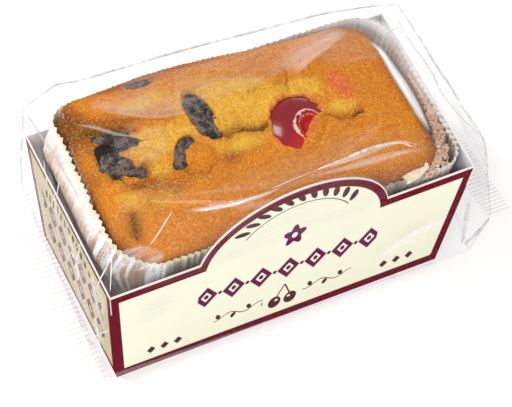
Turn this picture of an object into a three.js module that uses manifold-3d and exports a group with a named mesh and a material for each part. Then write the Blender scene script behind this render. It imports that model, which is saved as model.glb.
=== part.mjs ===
// A fruit cake loaf in a pleated paper case, standing in a card tray with an arched front,
// in a flow-wrapped film bag. Millimetres, +Z up. The middle of the tray's underside is the
// origin, the loaf's length runs along X and the arched front faces -Y.
import * as THREE from "three";
import { ConvexGeometry } from "three/addons/geometries/ConvexGeometry.js";
import { mergeVertices } from "three/addons/utils/BufferGeometryUtils.js";
import Module from "manifold-3d";

const wasm = await Module();
wasm.setup();

// ---- driving dimensions ----
const gap = 0.3;                 // clearance between pieces that touch

// card tray: its rim outside, and how far each base edge lies inside the rim
const trayLength = 140;
const trayWidth = 73;
const trayHeight = 62;
const endSlope = 6.2;
const sideSlope = 3.7;
const card = 0.6;
const archHalfChord = 36;        // half the arch's width where it leaves the front rim
const archRise = 29.5;           // the arch's top above the rim

// loaf: the outline of its crust, seen from above
const loafCentre = { x: -0.5, y: 0.9 };
const loafHalfLength = 60.6;
const loafHalfWidth = 33;
const loafCorners = { frontLeft: 17, frontRight: 9, backRight: 14, backLeft: 8 };
const loafFoot = { length: 59.8, width: 29.6 };
const crustEdge = { frontLeft: 64.5, frontRight: 69.5, backRight: 69, backLeft: 79.5 };  // heights
const crustDome = 6;             // the middle over the mean of the edges
const shoulder = 5;              // rounding between crust and side

// swellings and hollows of the crust: x, y, height, spread along x, spread along y
const crustLumps = [
  [-18, 36, 5.2, 32, 12],
  [-50, 24, 1.4, 10, 6],
  [-47, 7, -2.6, 11, 7],
  [-37, 1.5, 1.4, 6.5, 6],
  [-51, -9, 1.4, 8, 8],
  [-51.5, -17.5, -2.6, 4, 5],
  [-39, -10, -1.2, 6, 8],
  [-56, -27, -1.5, 8, 7],
  [-30, 19, 1, 12, 8],
  [-14, -14, -0.9, 8, 6],
  [6, 15, 1.2, 10, 7],
  [37, 2, 1.2, 10, 7],
  [24, -16, 1, 13, 6],
  [57, -27, -2, 7, 7],
];

// splits in the crust, each as [x, y] along its course
const crustSplits = [
  [[-9.5, 1.2], [-6, 1.6], [-3, 1.2], [-0.4, -0.4], [2.6, -1.2]],
  [[27.4, -4.4], [29.4, -6.4], [31.6, -7.5], [34.7, -7.8], [37.6, -6.8], [40.8, -6.6]],
  [[21.6, 20], [20.3, 15.7], [19.2, 12.6]],
  [[-41, 21.8], [-36.6, 18.8], [-31.5, 16.2], [-27, 14.6], [-23.6, 14]],
];
const splitWidth = 1.3;
const splitDepth = 2.2;

// fruit in the crust: x, y, half sizes, turn about Z in degrees, height of its top over the crust
const fruit = {
  cherry: { x: 15.8, y: -2.4, size: [13.2, 11.8, 6], turn: 65, proud: 2.2 },
  cherry_half: { x: 37.3, y: 5.4, size: [9, 5, 3], turn: -80, proud: 0.8 },
  raisin_1: { x: -15, y: 11.5, size: [12.4, 5.8, 3.8], turn: -81, proud: 1.1 },
  raisin_2: { x: -26, y: 0.2, size: [8, 4.6, 3.4], turn: 52, proud: 0.9 },
  raisin_3: { x: -44.6, y: 13.6, size: [13.5, 3, 2.8], turn: -20, proud: 0.9 },
  raisin_4: { x: -47.2, y: 3, size: [13, 4.3, 3], turn: -47, proud: 0.8 },
  raisin_5: { x: -30.4, y: 29.4, size: [8, 2.8, 2.2], turn: -3, proud: 0.4 },
};
// crumb that has risen over an edge of the fruit, in the same terms
const crumbFolds = {
  cherry: { x: 21.5, y: -10.3, size: [11.6, 6.6, 6], turn: 43, proud: 1.8 },
  raisin_2: { x: -21.8, y: -3.6, size: [6.6, 5.6, 4.5], turn: 0, proud: 1.3 },
};

// paper case
const paper = 0.45;
const pleats = 92;
const pleatDepth = 0.9;
const pleatAtFoot = 0.35;        // share of that depth that is left at the bottom
const paperCentre = { x: 2.95, y: 1 };
const paperHalfLength = 65.95;    // over the pleats, at its top edge
const paperHalfWidth = 34.9;
const paperFoot = { length: 61.2, width: 31.1 };
const paperCorners = { frontLeft: 17.5, frontRight: 10, backRight: 15, backLeft: 8.5 };
const paperTop = 68.8;           // mean height of its top edge
const paperBackRise = 2.8;       // the back edge above that, the front edge below it
const paperLean = 3.4;           // the left end above that, the right end below it
const paperDroop = 2.4;          // the right end below the lean's straight line
const paperWave = 0.9;           // unevenness of the top edge

// film bag, outside
const filmSlack = 1.6;           // film beyond the tray's rim
const finWidth = 8.4;
const finThick = 0.9;
const crimpPitch = 2.5;
const crimpDepth = 0.28;
// where loaf, paper and tray hold the film out, and where its folds lie: each x, y, z
const filmHeld = {
  crustBack: [[-59, 37.6, 83.4], [-45, 37.4, 82.2], [-20, 37.4, 81], [5, 37.4, 78.4],
    [26, 37.4, 75.4], [46, 37.4, 72.6], [60, 35.8, 71.2]],
  crustMiddle: [[-44, 4, 80.8], [-46, 26, 83.8], [-20, 26, 83.4], [4, 22, 81.4], [42, 3, 80]],
  crustFront: [[-53, -34.8, 69.6], [52, -33.6, 73.2]],
  paperEnds: [[-67, -26, 70], [-70, 38.5, 76], [69.5, 23, 70.4], [72, -20, 69.8]],
  rightFold: [[76.6, 37, 63], [78.5, -28, 62], [73.6, -38.1, 62.5], [76, -36.5, 4]],
  peak: [[-58, 38.7, 84.2], [-70, 38.5, 76], [-67, 14, 74.5], [-60, 24, 82.2], [-47, 19, 82.4],
    [-45, 36.7, 82]],
  brow: [[-46, -12, 76.2], [47, -14, 76], [-46, -30, 69.5], [46, -30, 72]],
};

// ---- shared shapes ----
const rim = { x: trayLength / 2, y: trayWidth / 2, z: trayHeight };
const foot = { x: rim.x - endSlope, y: rim.y - sideSlope };
const archRadius = (archHalfChord ** 2 + archRise ** 2) / (2 * archRise);
const archTop = rim.z + archRise;
const frontFace = (z) => -(foot.y + (rim.y - foot.y) * (z / rim.z));   // y of the front's outside

// A closed geometry as a solid: its corners are merged and its folded triangles dropped.
function solid(geometry) {
  const bare = geometry.clone();
  bare.deleteAttribute("normal");
  bare.deleteAttribute("uv");
  const merged = mergeVertices(bare, 1e-3);
  const index = merged.index.array;
  const kept = [];
  for (let i = 0; i < index.length; i += 3) {
    const [a, b, c] = [index[i], index[i + 1], index[i + 2]];
    if (a !== b && b !== c && c !== a) kept.push(a, b, c);
  }
  return new wasm.Manifold(new wasm.Mesh({
    numProp: 3,
    vertProperties: new Float32Array(merged.attributes.position.array),
    triVerts: new Uint32Array(kept),
  }));
}

// A solid as a geometry, without the slivers that cutting leaves.
function geometryOf(body) {
  const { vertProperties, triVerts, numProp } = body.simplify(0.01).getMesh();
  const geometry = new THREE.BufferGeometry();
  const corners = new Float32Array((vertProperties.length / numProp) * 3);
  for (let i = 0; i < corners.length / 3; i++) {
    for (let k = 0; k < 3; k++) corners[3 * i + k] = vertProperties[numProp * i + k];
  }
  geometry.setAttribute("position", new THREE.BufferAttribute(corners, 3));
  geometry.setIndex(new THREE.BufferAttribute(new Uint32Array(triVerts), 1));
  geometry.computeVertexNormals();
  return geometry;
}

function hull(points) {
  return solid(new ConvexGeometry(points.map(([x, y, z]) => new THREE.Vector3(x, y, z))));
}

// A closed shell through rings of points with equal counts, counterclockwise seen from above.
// The first ring is closed by a fan. So is the last, unless it has folded onto a line.
function ringShell(rings, fanLast) {
  const count = rings[0].length;
  const corners = rings.flat(2);
  const index = [];
  for (let r = 0; r + 1 < rings.length; r++) {
    for (let i = 0; i < count; i++) {
      const a = r * count + i, b = r * count + ((i + 1) % count);
      index.push(a, b, b + count, a, b + count, a + count);
    }
  }
  const fan = (ring, first, flip) => {
    const middle = [0, 1, 2].map((k) => ring.reduce((sum, p) => sum + p[k], 0) / count);
    const at = corners.length / 3;
    corners.push(...middle);
    for (let i = 0; i < count; i++) {
      const a = first + i, b = first + ((i + 1) % count);
      index.push(...(flip ? [at, b, a] : [at, a, b]));
    }
  };
  fan(rings[0], 0, true);
  if (fanLast) fan(rings.at(-1), (rings.length - 1) * count, false);
  const geometry = new THREE.BufferGeometry();
  geometry.setAttribute("position", new THREE.Float32BufferAttribute(corners, 3));
  geometry.setIndex(index);
  return solid(geometry);
}

// ---- card tray ----
// A frustum of the tray's form, moved out by `out` on its ends and `outSide` on its sides.
function trayBlock(out, outSide, low, high) {
  const at = (z) => {
    const t = z / rim.z;
    return [foot.x + (rim.x - foot.x) * t + out, foot.y + (rim.y - foot.y) * t + outSide];
  };
  const points = [];
  for (const z of [low, high]) {
    const [x, y] = at(z);
    for (const sx of [-1, 1]) for (const sy of [-1, 1]) points.push([sx * x, sy * y, z]);
  }
  return hull(points);
}

// The arched panel as a slab in the plane of the front wall, `grow` thicker and wider all round.
function archSlab(grow) {
  const lowest = rim.z - 8;
  const slab = [];
  for (const z of [lowest, archTop + 10]) {
    for (const x of [-1.4 * archRadius, 1.4 * archRadius]) {
      slab.push([x, frontFace(z) - grow, z], [x, frontFace(z) + card + grow, z]);
    }
  }
  const disc = new THREE.CylinderGeometry(archRadius + grow, archRadius + grow, trayWidth * 2, 96);
  disc.translate(0, 0, archTop - archRadius);
  return hull(slab).intersect(solid(disc));
}

function cardTray() {
  const cup = trayBlock(0, 0, 0, rim.z).subtract(
    trayBlock(-card, -card, card, rim.z + 5));
  return cup.add(archSlab(0));
}

// ---- outlines ----
// Points round a rounded rectangle from its front left, counterclockwise. Each also names the
// point of the middle line that it looks to, which is shared by front and back.
function outline(halfLength, halfWidth, corners, centre, detail) {
  const [sideSteps, endSteps, cornerSteps] = [30, 12, 4].map((n) => Math.round(n * detail));
  const spine = (halfLength - halfWidth) * 1.06;
  const points = [];
  const push = (x, y, lookX) => points.push({
    x: centre.x + x, y: centre.y + y, lookX: centre.x + lookX, lookY: centre.y,
  });
  const arc = (sx, sy, r, from, look) => {
    for (let i = 0; i < cornerSteps; i++) {
      const a = from + (i / cornerSteps) * (Math.PI / 2);
      push(sx * (halfLength - r) + r * Math.cos(a), sy * (halfWidth - r) + r * Math.sin(a), look);
    }
  };
  const { frontLeft, frontRight, backRight, backLeft } = corners;
  const run = (steps, ax, ay, bx, by, lookA, lookB) => {
    for (let i = 0; i < steps; i++) {
      const t = i / steps;
      push(ax + (bx - ax) * t, ay + (by - ay) * t, lookA + (lookB - lookA) * t);
    }
  };
  const [L, W] = [halfLength, halfWidth];
  run(sideSteps, -L + frontLeft, -W, L - frontRight, -W, -spine, spine);
  arc(1, -1, frontRight, -Math.PI / 2, spine);
  run(endSteps, L, -W + frontRight, L, W - backRight, spine, spine);
  arc(1, 1, backRight, 0, spine);
  run(sideSteps, L - backRight, W, -L + backLeft, W, spine, -spine);
  arc(-1, 1, backLeft, Math.PI / 2, -spine);
  run(endSteps, -L, W - backLeft, -L, -W + frontLeft, -spine, -spine);
  arc(-1, -1, frontLeft, Math.PI, -spine);
  return points;
}

// ---- loaf ----
function crustHeight(x, y) {
  const u = (x - loafCentre.x) / loafHalfLength;
  const v = (y - loafCentre.y) / loafHalfWidth;
  const { frontLeft, frontRight, backRight, backLeft } = crustEdge;
  const front = (frontLeft * (1 - u) + frontRight * (1 + u)) / 2;
  const back = (backLeft * (1 - u) + backRight * (1 + u)) / 2;
  let z = (front * (1 - v) + back * (1 + v)) / 2
    + crustDome * (1 - Math.min(1, u ** 4)) * (1 - Math.min(1, v * v));
  for (const [lx, ly, height, sx, sy] of crustLumps) {
    z += height * Math.exp(-(((x - lx) / sx) ** 2) - ((y - ly) / sy) ** 2);
  }
  return z;
}

// The loaf without its fruit, everywhere `grow` larger.
function loafBlock(grow, detail = 1) {
  const ring = outline(loafHalfLength, loafHalfWidth, loafCorners, loafCentre, detail);
  const foot = outline(loafFoot.length, loafFoot.width, loafCorners, { x: 0, y: 0 }, detail);
  const shoulderSteps = 3;
  const crustSteps = Math.round(9 * detail);
  const low = card + gap + paper + gap - grow;
  // a point `inset` in from the outline, or further by the share `t` of the way to the middle line
  const inward = ({ x, y, lookX, lookY }, inset, t = 0) => {
    const [dx, dy] = [lookX - x, lookY - y];
    const far = Math.hypot(dx, dy);
    const s = (inset / far) + t * (1 - inset / far);
    return [x + dx * s, y + dy * s];
  };
  const rings = [
    foot.map((p) => [...inward(p, -grow), low]),
    ring.map((p) => [...inward(p, -grow), crustHeight(p.x, p.y) - shoulder]),
  ];
  for (let i = 1; i <= shoulderSteps; i++) {
    const a = (i / shoulderSteps) * (Math.PI / 2);
    rings.push(ring.map((p) => {
      const [x, y] = inward(p, (shoulder + grow) * (1 - Math.cos(a)) - grow);
      return [x, y, crustHeight(x, y) - shoulder + (shoulder + grow) * Math.sin(a)];
    }));
  }
  for (let i = 1; i <= crustSteps; i++) {
    rings.push(ring.map((p) => {
      const [x, y] = inward(p, shoulder, i / crustSteps);
      return [x, y, crustHeight(x, y) + grow];
    }));
  }
  return ringShell(rings, false);
}

// A closed V-shaped wedge along a split's course, its open side above the crust.
function splitCutter(course) {
  const curve = new THREE.CatmullRomCurve3(course.map(([x, y]) => new THREE.Vector3(x, y, 0)));
  const steps = 2 * course.length;
  const overCrust = 2;
  const rings = [];
  for (let i = 0; i <= steps; i++) {
    const t = i / steps;
    const at = curve.getPoint(t), along = curve.getTangent(t);
    const z = crustHeight(at.x, at.y);
    const fullness = 0.3 + 0.7 * Math.sin(Math.PI * t);
    const deep = splitDepth * fullness;
    const half = 0.5 * splitWidth * fullness * (1 + overCrust / deep);
    rings.push([
      [at.x, at.y, z - deep],
      [at.x - along.y * half, at.y + along.x * half, z + overCrust],
      [at.x + along.y * half, at.y - along.x * half, z + overCrust],
    ]);
  }
  return ringShell(rings, true);
}

// An egg shape in the crust, turned about Z, its top `proud` over the crust, `grow` larger.
function egg({ x, y, size, turn = 0, proud }, grow, wrinkles = 0) {
  const round = Math.round(9 + 0.6 * size[0]);
  const shape = new THREE.SphereGeometry(1, round, Math.round(round / 2));
  shape.rotateX(Math.PI / 2);
  const points = shape.attributes.position;
  for (let i = 0; i < points.count; i++) {
    const p = new THREE.Vector3().fromBufferAttribute(points, i);
    const fold = 1 + wrinkles * Math.sin(5 * Math.atan2(p.y, p.x) + 7 * p.z) * Math.hypot(p.x, p.y);
    points.setXYZ(i, p.x * (size[0] * fold + grow), p.y * (size[1] * fold + grow),
      p.z * (size[2] + grow));
  }
  shape.rotateZ(THREE.MathUtils.degToRad(turn));
  shape.translate(x, y, crustHeight(x, y) + proud - size[2]);
  return solid(shape);
}

const wrinkleOf = (name) => (name.startsWith("raisin") ? 0.07 : 0);

function fruitPiece(name) {
  const piece = egg(fruit[name], 0, wrinkleOf(name));
  const fold = crumbFolds[name];
  return fold ? piece.subtract(egg(fold, gap)) : piece;
}

function cakeLoaf() {
  let loaf = loafBlock(0);
  for (const course of crustSplits) loaf = loaf.subtract(splitCutter(course));
  for (const name of Object.keys(fruit)) {
    loaf = loaf.subtract(egg(fruit[name], gap, wrinkleOf(name)));
  }
  for (const fold of Object.values(crumbFolds)) loaf = loaf.add(egg(fold, 0));
  return loaf;
}

// ---- paper case ----
function paperEdge({ x, y }) {
  const u = (x - paperCentre.x) / paperHalfLength;
  const v = (y - paperCentre.y) / paperHalfWidth;
  return paperTop + paperBackRise * v - paperLean * u * (0.65 + 0.35 * v)
    - paperDroop * Math.max(0, u) ** 3;
}

function paperRing(halfLength, halfWidth, centre, count) {
  const shape = new THREE.Shape();
  const corners = [[1, -1, paperCorners.frontRight], [1, 1, paperCorners.backRight],
    [-1, 1, paperCorners.backLeft], [-1, -1, paperCorners.frontLeft]];
  shape.moveTo(centre.x - halfLength + paperCorners.frontLeft, centre.y - halfWidth);
  shape.lineTo(centre.x + halfLength - paperCorners.frontRight, centre.y - halfWidth);
  corners.forEach(([sx, sy, r], i) => {
    const start = (i - 1) * (Math.PI / 2);
    shape.absarc(centre.x + sx * (halfLength - r), centre.y + sy * (halfWidth - r), r,
      start, start + Math.PI / 2);
  });
  const ring = [];
  for (let i = 0; i < count; i++) {
    const at = shape.getPointAt(i / count), along = shape.getTangentAt(i / count);
    ring.push({ x: at.x, y: at.y, outX: along.y, outY: -along.x });
  }
  return ring;
}

function paperCase() {
  const count = pleats * 2;
  const low = card + gap;
  const bottom = paperRing(paperFoot.length, paperFoot.width, { x: 0, y: 0 }, count);
  const top = paperRing(paperHalfLength, paperHalfWidth, paperCentre, count);
  // one ring of the wall: `t` is the share of the way up, `inset` the distance in from the pleats
  const level = (t, inset, floor) => top.map((p, i) => {
    const q = bottom[i];
    const depth = (i % 2) * pleatDepth * (pleatAtFoot + (1 - pleatAtFoot) * t) + inset;
    const wave = Math.sin(0.37 * i) * Math.sin(0.11 * i + 1);   // slow, and never quite repeating
    const height = paperEdge(p) + paperWave * wave;
    return [
      q.x + (p.x - q.x) * t - (q.outX + (p.outX - q.outX) * t) * depth,
      q.y + (p.y - q.y) * t - (q.outY + (p.outY - q.outY) * t) * depth,
      floor + (height - floor) * t,
    ];
  });
  return ringShell([level(0, 0, low), level(1, 0, low),
    level(1, paper, low), level(0, paper, low + paper)], true);
}

// All the room that the paper case and what it holds take up under the crust's edge.
function paperRoom(grow) {
  const count = 72;
  const bottom = paperRing(paperFoot.length + grow, paperFoot.width + grow, { x: 0, y: 0 }, count);
  const top = paperRing(paperHalfLength + grow, paperHalfWidth + grow, paperCentre, count);
  return ringShell([
    bottom.map((p) => [p.x, p.y, card]),
    top.map((p) => [p.x, p.y, paperEdge(p) + paperWave + grow]),
  ], true);
}

// ---- film bag ----
// The seam of each end, from its back to its front. The bag is pinched flat along it.
const leftSeam = [[-rim.x - 0.6, rim.y + 1.8, 30], [-rim.x - 0.8, -rim.y + 0.2, 10]];
const rightSeam = [[rim.x + 16, rim.y - 0.8, 6.5], [rim.x + 13, -rim.y + 1.3, 20]];

// The film round tray and loaf, pulled straight between the places that hold it out.
function bagBody() {
  const [x, y] = [rim.x + filmSlack, rim.y + filmSlack];
  const base = [-1, 1].flatMap((sx) => [-1, 1].map((sy) => [
    sx * (foot.x + filmSlack), sy * foot.y, filmSlack,
  ]));
  const { crustBack, crustMiddle, crustFront, paperEnds, rightFold } = filmHeld;
  return hull([...crustBack, ...crustMiddle, ...crustFront, ...paperEnds, ...rightFold,
    [-x, y, rim.z], [-x, -y, rim.z], ...leftSeam, ...rightSeam, ...base]);
}

// The film's peaked corner over the back left of the loaf.
function bagPeak() {
  const low = rim.z + 1;
  return hull([...filmHeld.peak, [-rim.x + 1, rim.y, low], [-46, rim.y, low]]);
}

// The film from the arch's edge back down to the crust.
function bagBrow() {
  const points = [...filmHeld.brow];
  const steps = 24;
  const reach = archRadius + 1.3;
  for (let i = 0; i <= steps; i++) {
    const a = Math.PI * (i / steps);
    const z = Math.max(rim.z - 1, archTop - archRadius + reach * Math.sin(a));
    for (const y of [-rim.y - 3, -rim.y + 1]) points.push([reach * Math.cos(a), y, z]);
  }
  return hull(points);
}

// A flat fin along a seam, ribbed across by the crimping jaws.
function crimpedFin([back, front], side) {
  const from = new THREE.Vector3(...back), to = new THREE.Vector3(...front);
  const along = to.clone().sub(from);
  const ribs = Math.round(along.length() / crimpPitch) * 2;
  const inner = -3 * side, outer = finWidth * side;
  const rings = [];
  for (let i = 0; i <= ribs; i++) {
    const p = from.clone().addScaledVector(along, i / ribs);
    const rib = (i % 2 ? 1 : -1) * crimpDepth / 2;
    const [low, high] = [p.z + rib - finThick / 2, p.z + rib + finThick / 2];
    const section = [[inner, low], [outer, low], [outer, high], [inner, high]];
    rings.push(section.map(([x, z]) => [p.x + x, p.y, z]));
  }
  if (side < 0) rings.forEach((ring) => ring.reverse());
  return ringShell(rings, true);
}

function filmWrap() {
  // room for the tray, and for the film that lies flat on its front and back
  const trayRoom = trayBlock(gap, 4 * filmSlack, -1, rim.z + gap);
  const frontRoom = hull([rim.z + gap, archTop + 12].flatMap((z) => [-1, 1].flatMap((sx) => [
    [sx * (rim.x - 1), frontFace(z), z], [sx * (rim.x - 1), frontFace(z) - 10, z],
  ])));
  let bag = bagBody().add(bagPeak()).add(bagBrow());
  bag = bag.add(crimpedFin(leftSeam, -1)).add(crimpedFin(rightSeam, 1));
  bag = bag.subtract(trayRoom).subtract(frontRoom).subtract(archSlab(gap));
  bag = bag.subtract(paperRoom(2 * gap)).subtract(loafBlock(4 * gap, 0.6));
  for (const name of Object.keys(fruit)) bag = bag.subtract(egg(fruit[name], gap, wrinkleOf(name)));
  for (const fold of Object.values(crumbFolds)) bag = bag.subtract(egg(fold, gap));
  return bag;
}

// ---- the object ----
const finishes = {
  card: new THREE.MeshStandardMaterial({ color: 0xf3efd8, roughness: 0.5, metalness: 0 }),
  paper: new THREE.MeshStandardMaterial({ color: 0xf2ece2, roughness: 0.7, metalness: 0 }),
  crust: new THREE.MeshStandardMaterial({ color: 0xd0943f, roughness: 0.75, metalness: 0 }),
  cherry: new THREE.MeshStandardMaterial({ color: 0xa3161b, roughness: 0.15, metalness: 0 }),
  raisin: new THREE.MeshStandardMaterial({ color: 0x3b2b2a, roughness: 0.55, metalness: 0 }),
  film: new THREE.MeshStandardMaterial({
    color: 0xf4f6f8, roughness: 0.1, metalness: 0, transparent: true, opacity: 0.25,
  }),
};

const pack = new THREE.Group();
function place(name, body, finish) {
  const mesh = new THREE.Mesh(geometryOf(body), finishes[finish]);
  mesh.name = name;
  pack.add(mesh);
}

place("card_tray", cardTray(), "card");
place("paper_case", paperCase(), "paper");
place("cake_loaf", cakeLoaf(), "crust");
for (const name of Object.keys(fruit)) {
  place(name, fruitPiece(name), name.startsWith("cherry") ? "cherry" : "raisin");
}
place("film_wrap", filmWrap(), "film");

export default pack;
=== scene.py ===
import math

import bmesh
import bpy
import numpy as np
from mathutils import Matrix, Vector
from mathutils.bvhtree import BVHTree


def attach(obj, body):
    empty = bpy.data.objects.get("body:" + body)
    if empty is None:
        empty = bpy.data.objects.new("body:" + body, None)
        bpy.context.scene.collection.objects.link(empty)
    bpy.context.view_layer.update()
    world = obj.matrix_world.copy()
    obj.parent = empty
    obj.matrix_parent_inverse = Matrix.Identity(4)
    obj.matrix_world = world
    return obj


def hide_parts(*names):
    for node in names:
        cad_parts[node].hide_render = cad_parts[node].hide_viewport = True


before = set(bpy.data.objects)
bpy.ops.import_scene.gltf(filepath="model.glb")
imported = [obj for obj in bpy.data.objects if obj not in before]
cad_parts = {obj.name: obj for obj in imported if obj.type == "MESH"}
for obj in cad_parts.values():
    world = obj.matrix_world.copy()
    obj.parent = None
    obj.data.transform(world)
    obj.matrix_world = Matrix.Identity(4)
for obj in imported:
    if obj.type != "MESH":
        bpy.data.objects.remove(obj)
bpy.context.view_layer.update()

mm = 0.001
bpy.context.scene.view_settings.view_transform = "Standard"


# A socket in a node tree. Sums on it add Math nodes, and node() adds any other node.
class Wire:
    def __init__(self, tree, socket=None):
        self.tree = tree
        self.socket = socket

    # settings go on the node first, then sockets gives values or links by socket name or number
    def node(self, kind, settings={}, sockets={}, out=0):
        made = self.tree.nodes.new(kind)
        for name, value in settings.items():
            if name == "stops":
                ramp = made.color_ramp
                while len(ramp.elements) < len(value):
                    ramp.elements.new(0.5)
                for element, (place, colour) in zip(ramp.elements, value):
                    element.position = place
                    element.color = (*colour, 1)
            else:
                setattr(made, name, value)
        for name, value in sockets.items():
            if isinstance(value, Wire):
                self.tree.links.new(value.socket, made.inputs[name])
            else:
                made.inputs[name].default_value = value
        return Wire(self.tree, made.outputs[out])

    def maths(self, operation, *terms):
        return self.node("ShaderNodeMath", {"operation": operation}, dict(enumerate(terms)))

    def __add__(self, other):
        return self.maths("ADD", self, other)

    def __sub__(self, other):
        return self.maths("SUBTRACT", self, other)

    def __rsub__(self, other):
        return self.maths("SUBTRACT", other, self)

    def __mul__(self, other):
        return self.maths("MULTIPLY", self, other)

    def __truediv__(self, other):
        return self.maths("DIVIDE", self, other)

    def __rtruediv__(self, other):
        return self.maths("DIVIDE", other, self)

    def __pow__(self, other):
        return self.maths("POWER", self, other)

    __radd__ = __add__
    __rmul__ = __mul__

    def size(self):
        return self.maths("ABSOLUTE", self)

    def least(self, other):
        return self.maths("MINIMUM", self, other)

    def most(self, other):
        return self.maths("MAXIMUM", self, other)

    # 0 under edge, 1 over it, and smooth over `soft` to each side
    def past(self, edge, soft):
        return self.node("ShaderNodeMapRange", {"interpolation_type": "SMOOTHSTEP"},
                         {"Value": self, "From Min": edge - soft, "From Max": edge + soft})

    # the value measured from the nearest of marks that repeat every `pitch`
    def repeat(self, pitch):
        return self.maths("WRAP", self, pitch / 2, -pitch / 2)

    def colours(self, low, high):
        return self.node("ShaderNodeMix", {"data_type": "RGBA"},
                         {0: self, 6: asColour(low), 7: asColour(high)}, 2)

    def noise(self, place, size, detail=2.0, roughness=0.5):
        return self.node("ShaderNodeTexNoise", {}, {
            "Vector": place, "Scale": 1 / (size * mm), "Detail": detail, "Roughness": roughness})

    # x, y and z of a vector
    def parts(self):
        made = self.node("ShaderNodeSeparateXYZ", {}, {0: self}).socket.node
        return [Wire(self.tree, socket) for socket in made.outputs]

    def millimetres(self):
        return [part * 1000 for part in self.parts()]

    # a bump from this height, with its depth in mm
    def bump(self, strength, depth):
        return self.node("ShaderNodeBump", {}, {
            "Strength": strength, "Distance": depth * mm, "Height": self}, "Normal")

    def principled(self, colour, roughness, others={}):
        return self.node("ShaderNodeBsdfPrincipled", {}, {
            "Base Color": colour, "Roughness": roughness, **others})

    # one shader laid over another by this share
    def cover(self, under, over):
        return self.node("ShaderNodeMixShader", {}, {0: self.least(1.0), 1: under, 2: over})

    def named(self, name, kind="FLOAT"):
        return self.node("GeometryNodeInputNamedAttribute", {"data_type": kind}, {"Name": name})

    def seededNoise(self, place, seed, scale, detail=1.0):
        return self.node("ShaderNodeTexNoise", {"noise_dimensions": "4D"}, {
            "Vector": place, "W": seed, "Scale": scale, "Detail": detail})

    def longer(self, times):
        return self.node("ShaderNodeVectorMath", {"operation": "SCALE"}, {0: self, "Scale": times})

    def moved(self, offset):
        return self.node("GeometryNodeSetPosition", {}, {"Geometry": self, "Offset": offset})

    # instances on these points, each of its own size and turn
    def strewn(self, points, piece, scale, seed):
        turn = self.node("FunctionNodeRandomValue", {"data_type": "FLOAT_VECTOR"}, {
            0: (0, 0, 0), 1: (6.283, 6.283, 6.283), "Seed": seed}, 0)
        return self.node("GeometryNodeInstanceOnPoints", {}, {
            "Points": points, "Instance": piece, "Rotation": turn, "Scale": scale})

    def anySize(self, low, high, seed):
        return self.node("FunctionNodeRandomValue", {"data_type": "FLOAT"}, {2: low, 3: high, "Seed": seed}, 1)


def asColour(value):
    return value if isinstance(value, Wire) else (*value, 1.0)


def tone(colour, times):
    return tuple(c * times for c in colour)


# Colours laid over a shade one after another, each by its share.
def layered(shade, *layers):
    for share, colour in layers:
        shade = share.colours(shade, colour)
    return shade


def newFinish(name):
    material = bpy.data.materials.new(name)
    material.use_nodes = True
    material.node_tree.nodes.clear()
    start = Wire(material.node_tree)
    return material, start, start.node("ShaderNodeTexCoord", out="Object")


def useShader(material, shader):
    output = shader.tree.nodes.new("ShaderNodeOutputMaterial")
    shader.tree.links.new(shader.socket, output.inputs["Surface"])
    return material


def readValues(start, *names):
    return [start.node("ShaderNodeAttribute", {"attribute_name": name}, out="Fac") for name in names]


# Smooth random numbers from 0 to 1 at places in mm, with lumps about `size` across.
noiseCells = np.random.default_rng(11).random((40, 40, 40))


def softNoise(places, size, shift=0.0):
    scaled = places / size + 11.3 + shift
    cell = np.floor(scaled).astype(int)
    part = scaled - cell
    part = part * part * (3 - 2 * part)
    total = np.zeros(len(places))
    for corner in range(8):
        step = np.array([corner & 1, corner >> 1 & 1, corner >> 2 & 1])
        i = (cell + step) % len(noiseCells)
        total += np.prod(np.where(step == 1, part, 1 - part), axis=1) * noiseCells[i[:, 0], i[:, 1], i[:, 2]]
    return total


def smoothStep(low, high, x):
    t = np.clip((x - low) / (high - low), 0, 1)
    return t * t * (3 - 2 * t)


# 1 at a place, and less away from it by its spread along x and along y.
def hill(x, y, cx, cy, sx, sy, power=2):
    return np.exp(-((x - cx) / sx) ** power - ((y - cy) / sy) ** power)


# How far out a place lies in a turned oval, 1 on its edge.
def oval(x, y, cx, cy, a, b, turn):
    c, s = math.cos(math.radians(turn)), math.sin(math.radians(turn))
    return np.hypot(((x - cx) * c + (y - cy) * s) / a, ((y - cy) * c - (x - cx) * s) / b)


def flat(x, y, z=0.0):
    return np.stack([x, y, np.zeros_like(x) + z], axis=1)


def addObject(name, data):
    made = bpy.data.objects.new(name, data)
    bpy.context.scene.collection.objects.link(made)
    return made


def setSmooth(mesh, smooth=True):
    mesh.polygons.foreach_set("use_smooth", [smooth] * len(mesh.polygons))


# A mesh object from places in mm.
def addMesh(name, places, faces, smooth=True, edges=()):
    mesh = bpy.data.meshes.new(name)
    mesh.from_pydata((np.asarray(places) * mm).tolist(), list(edges), faces)
    mesh.validate()
    setSmooth(mesh, smooth)
    return addObject(name, mesh)


def keepValues(piece, **values):
    for name, each in values.items():
        piece.data.attributes.new(name, "FLOAT", "POINT").data.foreach_set(
            "value", np.asarray(each, np.float32))


# Faces between rings of `count` places, and over the first ring when it is closed.
def ringFaces(rings, count, closeFirst=False):
    faces = []
    for r in range(rings - 1):
        for i in range(count):
            a, b = r * count + i, r * count + (i + 1) % count
            faces.append((a, b, b + count, a + count))
    if closeFirst:
        faces.append(tuple(range(count - 1, -1, -1)))
    return faces


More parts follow.
